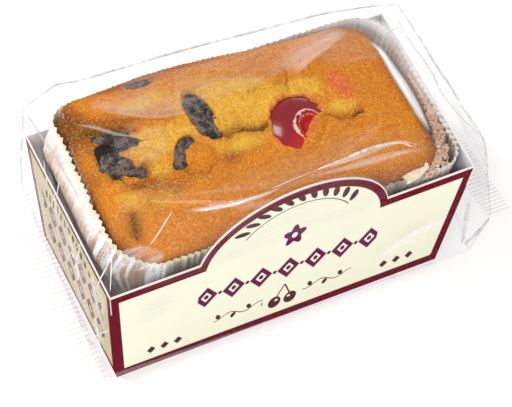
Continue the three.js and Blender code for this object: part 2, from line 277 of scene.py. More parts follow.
def newGroup(name, inputs):
    tree = bpy.data.node_groups.new(name, "GeometryNodeTree")
    tree.interface.new_socket("Geometry", in_out="INPUT", socket_type="NodeSocketGeometry")
    for label, start in {**inputs, "Finish": None}.items():
        kind = "Material" if start is None else "Int" if isinstance(start, int) else "Float"
        made = tree.interface.new_socket(label, in_out="INPUT", socket_type="NodeSocket" + kind)
        if start is not None:
            made.default_value = start
    tree.interface.new_socket("Geometry", in_out="OUTPUT", socket_type="NodeSocketGeometry")
    source = tree.nodes.new("NodeGroupInput")
    return Wire(tree), {s.name: Wire(tree, s) for s in source.outputs if s.name}


def endGroup(given, geometry):
    tree = geometry.tree
    whole = geometry.node("GeometryNodeRealizeInstances", {}, {"Geometry": geometry})
    done = whole.node("GeometryNodeSetMaterial", {}, {"Geometry": whole, "Material": given["Finish"]})
    tree.links.new(done.socket, tree.nodes.new("NodeGroupOutput").inputs[0])
    return tree


# Runs a tree on a piece and keeps the result as its plain mesh.
def runGroup(piece, tree, values):
    modifier = piece.modifiers.new(tree.name, "NODES")
    modifier.node_group = tree
    for item in tree.interface.items_tree:
        if item.item_type == "SOCKET" and item.in_out == "INPUT" and item.name in values:
            modifier[item.identifier] = values[item.name]
    depsgraph = bpy.context.evaluated_depsgraph_get()
    mesh = bpy.data.meshes.new_from_object(
        piece.evaluated_get(depsgraph), preserve_all_data_layers=True, depsgraph=depsgraph)
    piece.modifiers.remove(modifier)
    piece.data = mesh


def finishPiece(piece, slot, *nodes):
    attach(piece, "root")
    if nodes:
        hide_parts(*nodes)


# the camera, the lamps and the floor
view = {
    "azimuth": -30.8246, "elevation": 56.3745, "roll": 6.6118,
    "distance": 1.14565, "target": (0.0030409, -0.0028475, 0.031), "lens": 225.0,
}


def addCamera():
    az, el, roll = (math.radians(view[k]) for k in ("azimuth", "elevation", "roll"))
    back = Vector((math.sin(az) * math.cos(el), -math.cos(az) * math.cos(el), math.sin(el)))
    level = Vector((math.cos(az), math.sin(az), 0))
    upright = back.cross(level)
    right = level * math.cos(roll) + upright * math.sin(roll)
    up = upright * math.cos(roll) - level * math.sin(roll)
    data = bpy.data.cameras.new("camera")
    data.lens, data.sensor_width, data.sensor_fit = view["lens"], 36, "HORIZONTAL"
    camera = addObject("camera", data)
    place = Vector(view["target"]) + back * view["distance"]
    camera.matrix_world = Matrix.Translation(place) @ Matrix((right, up, back)).transposed().to_4x4()
    bpy.context.scene.camera = camera


studio = {
    "world": 0.5, "aim": (0, 0, 0.05),
    # place, size and power of each lamp, and whether it shows in gloss
    "lamps": [
        ((-0.60, 0.50, 1.05), (0.45, 0.45), 7.0, True),
        ((-0.62, -0.72, 0.85), (0.70, 0.60), 4.8, False),
        ((0.45, -0.95, 0.90), (0.90, 0.60), 3.2, False),
        ((0.45, 1.40, 0.28), (1.30, 0.45), 3.5, True),
    ],
    "floorReach": 1500, "floorDrop": 0.2,        # in mm
    "floorShades": ((0.9, 0.9, 0.9), (0.93, 0.93, 0.93)), "floorGlow": 0.28,
}


def addStudio():
    world = bpy.data.worlds.new("studio")
    world.use_nodes = True
    sky = world.node_tree.nodes["Background"].inputs
    sky["Color"].default_value = (1, 1, 1, 1)
    sky["Strength"].default_value = studio["world"]
    bpy.context.scene.world = world
    for i, (place, (wide, tall), power, mirrored) in enumerate(studio["lamps"]):
        data = bpy.data.lights.new(f"lamp{i}", "AREA")
        data.shape, data.size, data.size_y, data.energy = "RECTANGLE", wide, tall, power
        lamp = addObject(f"lamp{i}", data)
        turned = (Vector(place) - Vector(studio["aim"])).to_track_quat("Z", "Y").to_matrix()
        lamp.matrix_world = Matrix.Translation(place) @ turned.to_4x4()
        lamp.visible_glossy = mirrored
    corners = [(x * studio["floorReach"], y * studio["floorReach"], -studio["floorDrop"])
               for x, y in ((-1, -1), (1, -1), (1, 1), (-1, 1))]
    floor = addMesh("floor", corners, [(0, 1, 2, 3)], smooth=False)
    material, start, place = newFinish("paleFloor")
    shade = start.noise(place, 60).colours(*studio["floorShades"])
    floor.data.materials.append(useShader(material, start.principled(shade, 0.9, {
        "Emission Color": (1, 1, 1, 1), "Emission Strength": studio["floorGlow"]})))


addCamera()
addStudio()
print("stage ready")

# the tray
tray = {
    "rim": (70.0, 36.5, 62.0), "foot": (63.8, 32.8),
    "archRadius": 36.716, "archCentre": 54.784,
    "band": 3.2,                  # width of the dark red border
    "bandTall": 5.1,              # its width along the front's top and bottom
    "cutEdge": 0.32,              # how much of the pale cut edge shows round a printed face
    "cream": (0.89, 0.865, 0.69), "tan": (0.59, 0.505, 0.315), "red": (0.118, 0.002, 0.011),
    "plum": (0.14, 0.010, 0.065), "umber": (0.085, 0.020, 0.022),
    "board": (0.84, 0.84, 0.84), "edge": (0.95, 0.84, 0.80),
}
ornaments = {  # a pair of sizes is half a width and half a height
    "chainHeight": 37, "chainPitch": 10.6, "chainReach": 35,
    "lozenge": (4.4, 7.2), "lozengeHollow": (2.1, 3.5), "lozengeDot": (0.9, 1.5), "dotBetween": (0.75, 1.2),
    "leafRing": 27, "leafTurn": 0.19, "leaf": (1.45, 2.6), "ruleRing": 23.2, "rule": 0.22, "archTurn": 1.05,
    "flowerHeight": 60, "petals": 5, "flowerReach": 3.6, "petalDepth": 0.9, "flowerHole": 1.1,
    "cherryPlace": (3.1, 13.5), "cherry": (2.5, 2.5), "shine": (0.7, 0.5), "line": 0.32,
    "stalkHeights": (15, 25), "stalkLean": 0.32,
    "stemHeight": 17, "stemReach": (8, 27), "stemWave": 1.7, "leafletPitch": 6.04, "leaflet": (1.0, 1.7),
    "cornerPlace": (46, 12), "cornerPitch": 5.2, "cornerReach": 8, "cornerLozenge": (1.7, 2.6),
    "endLeafHeight": 52, "endLeafPitch": 3.4, "endLeaf": (1.0, 3.4), "endLeafReach": 23,
    "endPitch": 8.6, "endReach": 26, "endLozenge": (3.9, 7.4),
    "endChains": [(0, 36, (1.3, 2.6)), (4.3, 18, (1.5, 3.0))],     # shift, height and hollow
}


def diamond(across, along, wide, high):
    return (1 - across.size() / wide - along.size() / high).past(0, 0.06)


def disc(across, along, wide, high):
    return (1 - across * across / (wide * wide) - along * along / (high * high)).past(0, 0.12)


# The front's ornaments in plum and in umber; `up` is the height over the arch's centre.
def frontOrnaments(start, x, z, up):
    o, wide = ornaments, x.size()
    # a chain of lozenges, and a row of leaves that follows the arch
    across, high = x.repeat(o["chainPitch"]), z - o["chainHeight"]
    chain = diamond(across, high, *o["lozenge"]) * (1 - diamond(across, high, *o["lozengeHollow"]))
    chain = chain.most(disc(across, high, *o["lozengeDot"]))
    chain = chain.most(disc((x + o["chainPitch"] / 2).repeat(o["chainPitch"]), high, *o["dotBetween"]))
    chain = chain * (o["chainReach"] - wide).past(0, 0.2)
    turn = start.maths("ARCTAN2", x, up * 0.8)
    ring = (x * x + up * up * 0.78) ** 0.5
    out, span = ring - o["leafRing"], o["archTurn"] - turn.size()
    leaves = disc(turn.repeat(o["leafTurn"]) * o["leafRing"] + out * 0.5, out, *o["leaf"]) * span.past(0, 0.02)
    rule = (o["rule"] - (ring - o["ruleRing"]).size()).past(0, 0.1) * span.past(0, 0.01)
    # a flower under the arch
    high = (z - o["flowerHeight"]) * 0.62
    reach = (x * x + high * high) ** 0.5
    petal = start.maths("COSINE", start.maths("ARCTAN2", x, high) * o["petals"]) * o["petalDepth"]
    flower = (o["flowerReach"] + petal - reach).past(0, 0.15) * (reach - o["flowerHole"]).past(0, 0.12)
    # two cherries on their stalks, with a wavy stem to each side
    side, high = wide - o["cherryPlace"][0], (z - o["cherryPlace"][1]) * 0.62
    cherries = disc(side, high, *o["cherry"]) * (1 - disc(side + 0.6, high - 0.8, *o["shine"]))
    low, join = o["stalkHeights"]
    stalk = (o["line"] - (wide - (join - z) * o["stalkLean"]).size()).past(0, 0.14)
    stalk = stalk * (z - low).past(0, 0.3) * (join - z).past(0, 0.3)
    wave, high = start.maths("SINE", x * 0.52) * o["stemWave"], z - o["stemHeight"]
    stem = (o["line"] - (high - wave).size()).past(0, 0.14)
    stem = stem.most(disc((x + 1.5).repeat(o["leafletPitch"]), high + wave, *o["leaflet"]))
    stem = stem * (wide - o["stemReach"][0]).past(0, 0.3) * (o["stemReach"][1] - wide).past(0, 0.3)
    # three small lozenges low in both corners
    side = wide - o["cornerPlace"][0]
    corner = diamond(side.repeat(o["cornerPitch"]), z - o["cornerPlace"][1], *o["cornerLozenge"])
    corner = corner * (o["cornerReach"] - side.size()).past(0, 0.1)
    return chain.most(flower), leaves.most(rule).most(cherries).most(stalk).most(stem).most(corner)


# The ends' ornaments: two chains of lozenges in plum under a row of leaves in umber.
def endOrnaments(y, z):
    o = ornaments
    bow = z - o["endLeafHeight"] + y * y * 0.012
    leaves = disc(y.repeat(o["endLeafPitch"]) + bow * 0.25, bow, *o["endLeaf"])
    leaves = leaves * (o["endLeafReach"] - y.size()).past(0, 0.2)
    chains = []
    for shift, height, hollow in o["endChains"]:
        across, high = (y + shift).repeat(o["endPitch"]), z - height
        chains.append(diamond(across, high, *o["endLozenge"]) * (1 - diamond(across, high, *hollow)))
    return chains[0].most(chains[1]) * (o["endReach"] - y.size()).past(0, 0.2), leaves


def printedCard():
    material, start, place = newFinish("printedCard")
    x, y, z = place.millimetres()
    nx, ny, nz = start.node("ShaderNodeNewGeometry", out="Normal").parts()
    # which face of the board this is
    front = (0 - ny).past(0.5, 0.05) * (0 - y).past(20, 1)
    back = ny.past(0.5, 0.05) * y.past(20, 1)
    ends = (nx * x).past(25, 2) * nx.size().past(0.5, 0.05)
    top = nz.past(0.4, 0.05) * z.past(50, 1)
    # distance in from the borders' outer edge, on the front and on the ends
    rise = tray["rim"][2]
    halfLong, halfDeep = (foot + z * ((rim - foot) / rise) for foot, rim in zip(tray["foot"], tray["rim"]))
    tall = tray["band"] / tray["bandTall"]
    flatIn = (halfLong - x.size()).least((z * tall).least((rise - z) * tall))
    up = z - tray["archCentre"]
    reach = (x * x + up * up) ** 0.5
    archIn = (tray["archRadius"] - reach) / (1 + (1 / tall - 1) * up * up / (reach * reach))
    frontIn = flatIn.most(archIn)
    endIn = (halfDeep - y.size()).least(z.least(rise - z))
    frontBand, endBand, backBand = ((tray["band"] - inward).past(0, 0.12) for inward in (frontIn, endIn, flatIn))

    grain, ink = start.noise(place, 0.7, 3), start.noise(place, 9, 2)
    cream = (ink * 0.5 + grain * 0.25).colours(tray["cream"], tone(tray["cream"], 0.96))
    red = ink.colours(tray["red"], tone(tray["red"], 1.35))
    board = grain.colours(tone(tray["board"], 0.9), tray["board"])
    plum, umber = frontOrnaments(start, x, z, up)
    frontPrint = layered(cream, (umber, tray["umber"]), (plum, tray["plum"]), (frontBand, red))
    plum, umber = endOrnaments(y, z)
    endPrint = layered(tray["tan"], (umber, tray["umber"]), (plum, tray["plum"]), (endBand, red))
    # the cut edge of the board shows pale, and a little of it round each printed face
    rim = (front * (tray["cutEdge"] - frontIn).past(0, 0.12) * z.past(50, 1)).most(
        ends * (0.3 - (rise - z)).past(0, 0.12))
    colour = layered(board, (front, frontPrint), (back, backBand.colours(cream, red)), (ends, endPrint),
                     (top.most(rim), tray["edge"]))
    printed = front.most(back).most(ends)
    return useShader(material, start.principled(colour, 0.78 - printed * 0.3 + grain * 0.08, {
        "Normal": grain.bump(0.12, 0.2), "Specular IOR Level": 0.0}))


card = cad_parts["card_tray"]
card.data.materials.clear()
card.data.materials.append(printedCard())
print("tray printed")

# the loaf
loaf = {
    "centre": (-0.5, 0.9), "halfLength": 60.6, "halfWidth": 33.0,
    "corners": (17, 9, 14, 8),                    # front left, front right, back right, back left
    "foot": (59.8, 29.6, 1.7),
    "edgeHeights": (64.5, 69.5, 69, 79.5),        # in the same order
    "dome": 6, "shoulder": 5, "relief": 0.34,
    "waver": 0.9, "pleatDepth": 0.22, "pleats": 184,     # of the edge
    "outlineSteps": (200, 100, 30), "wallRings": 8, "topRings": 92,
    "lumps": [  # x, y, height, spread along x and along y
        (-18, 36, 5.2, 32, 12), (-50, 24, 1.4, 10, 6), (-47, 7, -2.6, 11, 7), (-37, 1.5, 1.4, 6.5, 6),
        (-51, -9, 1.4, 8, 8), (-51.5, -17.5, -2.6, 4, 5), (-39, -10, -1.2, 6, 8), (-56, -27, -1.5, 8, 7),
        (-30, 19, 1, 12, 8), (-14, -14, -0.9, 8, 6), (6, 15, 1.2, 10, 7), (37, 2, 1.2, 10, 7),
        (24, -16, 1, 13, 6), (57, -27, -2, 7, 7),
    ],
    # each split: its course, half width and depth, the lip on its left with height and reach, how dark its painted
    # shade is
    "splits": [
        ([(-12.4, 1.8), (-9.5, 0.9), (-6, 1.6), (-3, 1.2), (-0.4, -0.4), (2.6, -1.2), (5.2, -0.2), (7.2, 1.0)],
         0.75, 1.6, 0.9, 4.0, 0.9),
        ([(25.6, -2.2), (27.4, -4.4), (29.4, -6.4), (31.6, -7.5), (34.7, -7.8), (37.6, -6.8), (41.8, -6.2)],
         0.55, 1.2, 0.7, 4.0, 0.9),
        ([(22.2, 22), (21.3, 18.4), (20.1, 14.8), (18.6, 11.5), (17.1, 8.5)], 0.4, 0.5, 0.3, 3.0, 0.7),
        ([(-47, 24.5), (-41, 21.8), (-36.6, 18.8), (-31.5, 16.2), (-27, 14.6), (-20.6, 13.4)],
         0.7, 0.9, 1.0, 4.5, 0.4),
        ([(-61, 22.0), (-57, 20.6), (-52, 18.4), (-46.7, 17.0), (-40, 14.6), (-36, 12.6)],
         0.5, 1.4, 2.0, 5.0, 1.0),
        ([(-50.4, -11.5), (-51, -13.6), (-51.6, -16.6), (-53, -21)], 0.8, 1.6, 0.6, 3.0, 0.8),
        ([(-36.5, -4.6), (-38.6, -7.4), (-42, -10.6), (-45.4, -13.8)], 1.6, 0.8, 0.2, 3.0, 0.2),
        ([(-53, 2.0), (-49.5, -2.4), (-45.5, -5.8), (-40, -6.8)], 0.5, 0.9, 0.2, 2.0, 0.6),
        ([(-29.5, -5.5), (-26.2, -8.4), (-21.5, -9.6), (-16.2, -7.2)], 0.45, 0.8, 0.4, 2.0, 0.5),
        ([(2.4, 11.8), (8, 14.5), (14, 13.5), (19.5, 14.8)], 0.6, 0.5, 0.5, 5.0, 0.1),
        ([(-19, 17), (-12, 21.5), (-4, 23.5), (6, 22.5), (16, 25)], 0.7, 0.6, 0.6, 5.0, 0.15),
    ],
    # crumb painted near black in the hollow between the raisins: place, spread and strength
    "darkPatches": [(-50.8, 9.6, 4.8, 5.2, 1.1), (-47, 11.0, 7, 2.4, 0.9), (-50, 3, 4.5, 4.5, 0.8),
               (-43.5, -0.5, 5, 2.5, 0.7)],
    # yellow crumb: place, spread and strength
    "yellow": [(-4, 6, 9, 6, 1), (3, 12, 12, 8, 1), (-6, -4, 9, 4, 0.9), (24, 9, 6, 4, 0.9),
               (-38, -7, 6, 10, 0.5), (-36, 7, 7, 5, 0.9), (-28, 7, 8, 5, 0.9), (-10, 18, 10, 7, 0.9),
               (33, -3, 6, 2.5, 0.8), (-50, -9, 7, 5, 0.45), (-33, 22, 9, 3, 0.9), (-46, 15, 5, 1.5, 0.6)],
    # crumb stained by cherry: place, half sizes and turn
    "rosy": [(36.8, 5.6, 8.6, 4.6, -85), (19.0, -7.4, 5.0, 2.0, 42)],
    # browned crust, and painted shade under the flap's edge, in the dimple, under lumps and beside the splits:
    # place, spread and strength
    "brown": [(-58, 23, 5.5, 5, 1.0), (-45, -6, 6, 3, 0.35), (-27, -8, 7, 4, 0.25), (26, 24, 14, 4, 0.2),
              (-37, -8, 6, 3.5, 0.4), (-12, -7.5, 5.5, 3.5, 0.5), (-3, -7.5, 7, 2, 0.25),
              (12, 19, 9, 2, 0.25), (-52, 19, 9, 3.0, 0.8), (-41, 17, 8, 2.2, 0.45), (-54, 14, 5, 3, 0.5),
              (-57, 4, 4, 6, 0.35), (-60, 30, 4, 5, 0.7), (-51.5, -17, 1.7, 4.6, 0.85),
              (-46, -5, 8, 1.5, 0.35), (-20, 31, 26, 3, 0.35), (-36, 31, 10, 3, 0.4), (50, 30, 10, 6, 0.3),
              (59, 4, 3, 26, 0.4), (57, -22, 6, 7, 0.3), (-33, -12, 5, 3, 0.3), (-57, -22, 5, 8, 0.25),
              (30, -31, 30, 4, 0.25)],
}
fruit = {  # place, half sizes, turn about Z in degrees, height of its top over the crust
    "cherry": ((15.8, -2.4), (13.2, 11.8, 6.0), 65, 2.2),
    "cherry_half": ((37.3, 5.4), (9.0, 5.0, 3.0), -80, 0.8),
    "raisin_1": ((-15, 11.5), (12.4, 5.8, 3.8), -81, 1.1),
    "raisin_2": ((-26, 0.2), (8.0, 4.6, 3.4), 52, 0.9),
    "raisin_3": ((-44.6, 13.6), (13.5, 3.0, 2.8), -20, 0.9),
    "raisin_4": ((-47.2, 3.0), (13.0, 4.3, 3.0), -47, 0.8),
    "raisin_5": ((-30.4, 29.4), (8.0, 2.8, 2.2), -3, 0.4),
}
crumbFolds = [  # crumb that has risen over fruit: place, half sizes, turn and height
    ((22.9, -12.3), (14.5, 7.2), 39, 0.9),
    ((-21.6, -3.9), (6.0, 5.4), 10, 2.0),
    ((-39.6, 3.2), (6.4, 4.2), -35, 1.6),
    ((-44.6, 7.6), (3.4, 2.0), -40, 0.5),
    ((-36.2, 12.2), (5.0, 3.0), -15, 0.8),
    ((-7.5, 5.5), (6.0, 5.0), 20, 0.6),
]
crustMasks = ("yellow", "brown", "opened", "valley", "rosy")
crustColours = {
    "amber": ((0.60, 0.165, 0.008), (0.76, 0.255, 0.015)), "gold": ((0.70, 0.325, 0.020), (0.84, 0.47, 0.055)),
    "rosy": (0.74, 0.11, 0.045), "brown": (0.33, 0.072, 0.008), "darkestBrown": (0.15, 0.026, 0.006),
    "valley": (0.36, 0.13, 0.010), "opened": (0.26, 0.095, 0.014), "darkPatches": (0.030, 0.016, 0.012),
    "sugar": (0.90, 0.60, 0.17), "speck": (0.40, 0.14, 0.014), "grainGlint": (0.93, 0.68, 0.25),
    "looseGrains": ((0.64, 0.23, 0.020), (0.80, 0.38, 0.045), (0.90, 0.60, 0.16)),
}


# The plain crust without splits and fruit, in mm.
def crustHeight(x, y):
    u = (x - loaf["centre"][0]) / loaf["halfLength"]
    v = (y - loaf["centre"][1]) / loaf["halfWidth"]
    frontLeft, frontRight, backRight, backLeft = loaf["edgeHeights"]
    front = (frontLeft * (1 - u) + frontRight * (1 + u)) / 2
    back = (backLeft * (1 - u) + backRight * (1 + u)) / 2
    z = (front * (1 - v) + back * (1 + v)) / 2
    z = z + loaf["dome"] * (1 - np.minimum(1, u ** 4)) * (1 - np.minimum(1, v * v))
    for lx, ly, height, sx, sy in loaf["lumps"]:
        z = z + height * hill(x, y, lx, ly, sx, sy)
    return z


# Distance from a course, positive on its left, and the share of its length passed there.
def alongCourse(x, y, course):
    best, side, share = np.full(len(x), 1e9), np.zeros(len(x)), np.zeros(len(x))
    legs = [(a, b, math.dist(a, b)) for a, b in zip(course, course[1:])]
    whole, passed = sum(length for _, _, length in legs), 0.0
    for a, b, length in legs:
        ux, uy = (b[0] - a[0]) / length, (b[1] - a[1]) / length
        t = np.clip((x - a[0]) * ux + (y - a[1]) * uy, 0, length)
        dx, dy = x - a[0] - t * ux, y - a[1] - t * uy
        far = np.hypot(dx, dy)
        near = far < best
        best = np.where(near, far, best)
        side = np.where(near, np.sign(ux * dy - uy * dx), side)
        share = np.where(near, (passed + t) / whole, share)
        passed += length
    return best * np.where(side == 0, 1, side), share


# How far out a place lies in a fruit's outline, 1 on it.
def outOf(spec, x, y):
    (cx, cy), (a, b, _), turn, _ = spec
    return oval(x, y, cx, cy, a, b, turn)


def eggTop(spec):
    (cx, cy), _, _, proud = spec
    return float(crustHeight(np.array([cx]), np.array([cy]))[0]) + proud


# The height of a fruit's upper surface at a place, far down outside the fruit.
def eggSurface(spec, x, y):
    deep = spec[1][2]
    r = outOf(spec, x, y)
    return np.where(r < 1, eggTop(spec) - deep + deep * np.sqrt(np.maximum(0, 1 - r * r)), -99)


# The crust with its splits, crumbly lumps, sockets for the fruit and folds, and where it is
# yellow; browned, with some painted shade; painted with shade in its splits, round the fruit and along its valleys;
# or rosy, each from 0.
def bakedCrust(x, y):
    z, places = crustHeight(x, y), flat(x, y)

    def uneven(size, shift=0.0):
        return softNoise(places, size, shift) - 0.5

    def ringed(r, spread, strength):
        return strength * np.exp(-((r - 1.0) / spread) ** 2)

    yellow, brown = (sum(k * hill(x, y, *spot) for *spot, k in loaf[name]) for name in ("yellow", "brown"))
    yellow = np.clip(yellow * (0.75 + 0.5 * softNoise(places, 7, 3)), 0, 1)
    wander = uneven(2.6) * 1.5 + uneven(1.1, 5) * 0.7
    opened, valley, raisinRing, cherryRimShade = (np.zeros(len(x)) for _ in range(4))
    for course, width, depth, lip, reach, dark in loaf["splits"]:
        d, t = alongCourse(x, y, course)
        broad = np.exp(-(d / (3.2 * width + 1.2)) ** 2)
        d = d + wander * (1 - smoothStep(0.8, 1, t))
        fullness = smoothStep(0, 0.15, t) * (1 - smoothStep(0.86, 1, t)) * 0.85 + 0.15
        gone = np.exp(-(d / width) ** 2) * fullness
        z = z - depth * (gone + 0.3 * broad * fullness)
        z = z + lip * fullness * smoothStep(0, 1.6 * width, d) * np.exp(-np.maximum(d, 0) / reach)
        # painted shade down the split
        opened = np.maximum(opened, np.exp(-(d / (1.4 * width)) ** 2) * fullness * dark)
        # painted shade along the split's broad valley
        valley = np.maximum(valley, broad * fullness * min(0.75, depth / 2.2))
    for *spot, k in loaf["darkPatches"]:
        valley = np.maximum(valley, k * 1.6 * hill(x, y, *spot, power=4))
    crumbly = 0.4 + 0.6 * np.clip(yellow + opened, 0, 1)
    lumpy = 1.1 * uneven(5.2, 1) + 0.6 * uneven(2.3, 2)
    z = z + crumbly * lumpy
    ragged = uneven(2.4, 9) * 0.22 + uneven(1.0, 7) * 0.12
    hidden = z.copy()
    for node, spec in fruit.items():
        if node == "cherry_half":
            continue
        deep, proud = spec[1][2], spec[3]
        shown = math.sqrt(1 - ((deep - proud) / deep) ** 2)
        r = outOf(spec, x, y) / shown + ragged
        z = z - 0.5 * deep * (1 - smoothStep(0.86, 1.02, r))
        z = z + 0.4 * np.exp(-((r - 1.14) / 0.12) ** 2)
        # painted shade round each fruit where the crust meets it
        if node == "cherry":
            opened = np.maximum(opened, ringed(r, 0.05, 0.6))
            # red tint for the painted shade round the cherry's edge
            cherryRimShade = ringed(r, 0.12, 0.9)
        else:
            opened = np.maximum(opened, ringed(r, 0.07, 0.8))
            # a wider brown ring round each raisin
            raisinRing = np.maximum(raisinRing, ringed(r, 0.22, 0.62))
    for spec in fruit.values():
        hidden = np.maximum(hidden, eggSurface(spec, x, y) + 0.45)
    for place, half, turn, height in crumbFolds:
        r = oval(x, y, *place, *half, turn) + ragged * 0.6
        fold = hidden + height * np.maximum(0, 1 - r * r) ** 1.3 + crumbly * lumpy * 0.4
        inside = 1 - smoothStep(0.96, 1.02, r)
        z = z + np.maximum(0, fold - z) * inside
        opened, raisinRing, cherryRimShade = (mask * (1 - 0.95 * inside) for mask in (opened, raisinRing, cherryRimShade))
    brown = np.maximum(brown, raisinRing)
    rosy = sum(np.exp(-oval(x, y, *spot) ** 3) for spot in loaf["rosy"])
    # rosy holds the cherry's real stain and the red of the painted shade round the cherry
    rosy = np.maximum(rosy, cherryRimShade) * (0.7 + 0.6 * softNoise(places, 2.0, 13))
    return z, yellow, np.clip(brown, 0, 1), opened, np.clip(valley, 0, 1.6), np.clip(rosy, 0, 1)


# Points round a rounded box, counterclockwise, each with the point of the middle line it faces.
def roundedOutline(half, corners, centre, longSteps, endSteps, cornerSteps):
    long, wide = half[:2]
    spine = (long - wide) * 1.06
    frontLeft, frontRight, backRight, backLeft = corners
    points = []

    def run(steps, a, b, lookA, lookB):
        for i in range(steps):
            t = i / steps
            points.append((a[0] + (b[0] - a[0]) * t, a[1] + (b[1] - a[1]) * t, lookA + (lookB - lookA) * t))

    def bend(sx, sy, r, start, look):
        for i in range(cornerSteps):
            a = start + i / cornerSteps * math.pi / 2
            points.append((sx * (long - r) + r * math.cos(a), sy * (wide - r) + r * math.sin(a), look))

    run(longSteps, (-long + frontLeft, -wide), (long - frontRight, -wide), -spine, spine)
    bend(1, -1, frontRight, -math.pi / 2, spine)
    run(endSteps, (long, -wide + frontRight), (long, wide - backRight), spine, spine)
    bend(1, 1, backRight, 0, spine)
    run(longSteps, (long - backRight, wide), (-long + backLeft, wide), spine, -spine)
    bend(-1, 1, backLeft, math.pi / 2, -spine)
    run(endSteps, (-long, wide - backLeft), (-long, -wide + frontLeft), -spine, -spine)
    bend(-1, -1, frontLeft, math.pi, -spine)
    table = np.array(points)
    look = np.stack([table[:, 2] + centre[0], np.full(len(table), centre[1])], axis=1)
    return table[:, :2] + np.array(centre), look


def buildLoaf():
    half, corners, low = (loaf["halfLength"], loaf["halfWidth"]), loaf["corners"], loaf["foot"][2]
    edge, look = roundedOutline(half, corners, loaf["centre"], *loaf["outlineSteps"])
    foot, _ = roundedOutline(loaf["foot"], corners, (0, 0), *loaf["outlineSteps"])
    count = len(edge)
    away = look - edge
    far = np.linalg.norm(away, axis=1, keepdims=True)
    # the edge itself wanders a little, and shows the pleats it was baked against
    waver = (softNoise(flat(edge[:, 0], edge[:, 1]), 9, 4) - 0.5) * loaf["waver"]
    waver = waver + loaf["pleatDepth"] * np.sin(np.arange(count) * 2 * math.pi * loaf["pleats"] / count)
    shoulder = loaf["shoulder"]
    rings, masks = [], []

    # a ring of the crust, its waver fading towards the middle, and a share of the way to the middle line
    def ring(inset, drop, share=0.0):
        inset = inset + waver * max(0.0, 1 - inset / 6)
        s = inset[:, None] / far + share * (1 - inset[:, None] / far)
        at = edge + away * s
        z, *shown = bakedCrust(at[:, 0], at[:, 1])
        rings.append(np.column_stack([at, z - drop]))
        masks.append(np.column_stack(shown))

    zEdge = crustHeight(edge[:, 0], edge[:, 1]) - shoulder
    for t in np.linspace(0, 1, loaf["wallRings"] + 1):
        at = foot + (edge - foot) * t + away / far * (waver * t)[:, None]
        rings.append(np.column_stack([at, low + (zEdge - low) * t]))
        masks.append(np.column_stack([np.zeros(count), np.full(count, 0.25 * t), np.zeros((count, 3))]))
    for t in np.linspace(0, 1, loaf["wallRings"] + 1)[1:]:
        a = t * math.pi / 2
        ring(shoulder * (1 - math.cos(a)), shoulder * (1 - math.sin(a)))
        masks[-1][:, 1] = np.clip(masks[-1][:, 1] + 0.5 * (1 - t), 0, 1)
    for k in range(1, loaf["topRings"] + 1):
        ring(shoulder, 0.0, k / loaf["topRings"])
    made = addMesh("fruitCake", np.concatenate(rings), ringFaces(len(rings), count, closeFirst=True))
    keepValues(made, **dict(zip(crustMasks, np.concatenate(masks).T)))
    edit = bmesh.new()
    edit.from_mesh(made.data)
    bmesh.ops.remove_doubles(edit, verts=edit.verts, dist=0.02 * mm)
    bmesh.ops.recalc_face_normals(edit, faces=edit.faces)
    edit.to_mesh(made.data)
    edit.free()
    return made


def crustFinish():
    material, start, place = newFinish("bakedCrust")
    yellow, brown, opened, valley, rosy = readValues(start, *crustMasks)
    broad, blotch = start.noise(place, 9, 3), start.noise(place, 2.4, 4, 0.7)
    crumb, fine = start.noise(place, 0.75, 2, 0.6), start.noise(place, 0.36, 1)
    pores = start.node("ShaderNodeTexVoronoi", {"feature": "F1"}, {"Vector": place, "Scale": 900.0}, "Distance")
    c = crustColours
    amber, gold = (blotch.past(0.5, 0.22).colours(*c[name]) for name in ("amber", "gold"))
    shade = layered(
        amber, ((yellow * 1.15 + (broad - 0.5) * 0.8).past(0.42, 0.34), gold),
        ((rosy + (crumb - 0.5) * 0.7).past(0.55, 0.45) * 0.75, c["rosy"]),
        ((brown * 1.1 + (blotch - 0.5) * 0.5).past(0.42, 0.34), c["brown"]),
        # darkest brown, which also deepens the painted shade in the dimple and under the flap's edge
        ((brown + (crumb - 0.5) * 0.3).past(0.92, 0.12), c["darkestBrown"]),
        # painted shade along the splits' valleys
        ((valley * 0.75 + (blotch - 0.5) * 0.4).past(0.45, 0.4), c["valley"]),
        # painted shade in the splits and round the fruit
        ((opened * 1.2 + (crumb - 0.5) * 0.4).past(0.72, 0.34), c["opened"]),
        (crumb.past(0.6, 0.1) * (0.35 + yellow * 0.15), c["sugar"]),
        ((1 - crumb).past(0.6, 0.09) * (0.4 + yellow * 0.05), c["speck"]),
        # painted glints on fine grains
        (fine.past(0.66, 0.05) * 0.35, c["grainGlint"]),
        # near black over the dark patches between the raisins
        ((valley * 0.75 + (blotch - 0.5) * 0.3).past(0.80, 0.12), c["darkPatches"]))
    height = crumb * 0.6 + fine * 0.35 + blotch * 0.8 - (0.3 - pores).most(0) * 0.6
    return useShader(material, start.principled(shade, 0.62 + crumb * 0.2, {
        "Normal": height.bump(0.95, 0.32), "Specular IOR Level": 0.04}))


# Fine crumb relief over the whole crust.
def crumbRelief():
    start, given = newGroup("crumbRelief", {"Depth": 0.0002, "Coarse": 1.4, "Grain": 1.0, "Seed": 3})
    place = start.node("GeometryNodeInputPosition")
    coarse = start.seededNoise(place, given["Seed"], 1000 / given["Coarse"], 1.5)
    grain = start.node("ShaderNodeTexVoronoi", {"voronoi_dimensions": "4D", "feature": "SMOOTH_F1"}, {
        "Vector": place, "W": given["Seed"], "Scale": 1000 / given["Grain"], "Smoothness": 0.4}, "Distance")
    rise = ((coarse - 0.5) * 1.6 + (0.45 - grain)) * given["Depth"]
    return endGroup(given, given["Geometry"].moved(start.node("GeometryNodeInputNormal").longer(rise)))


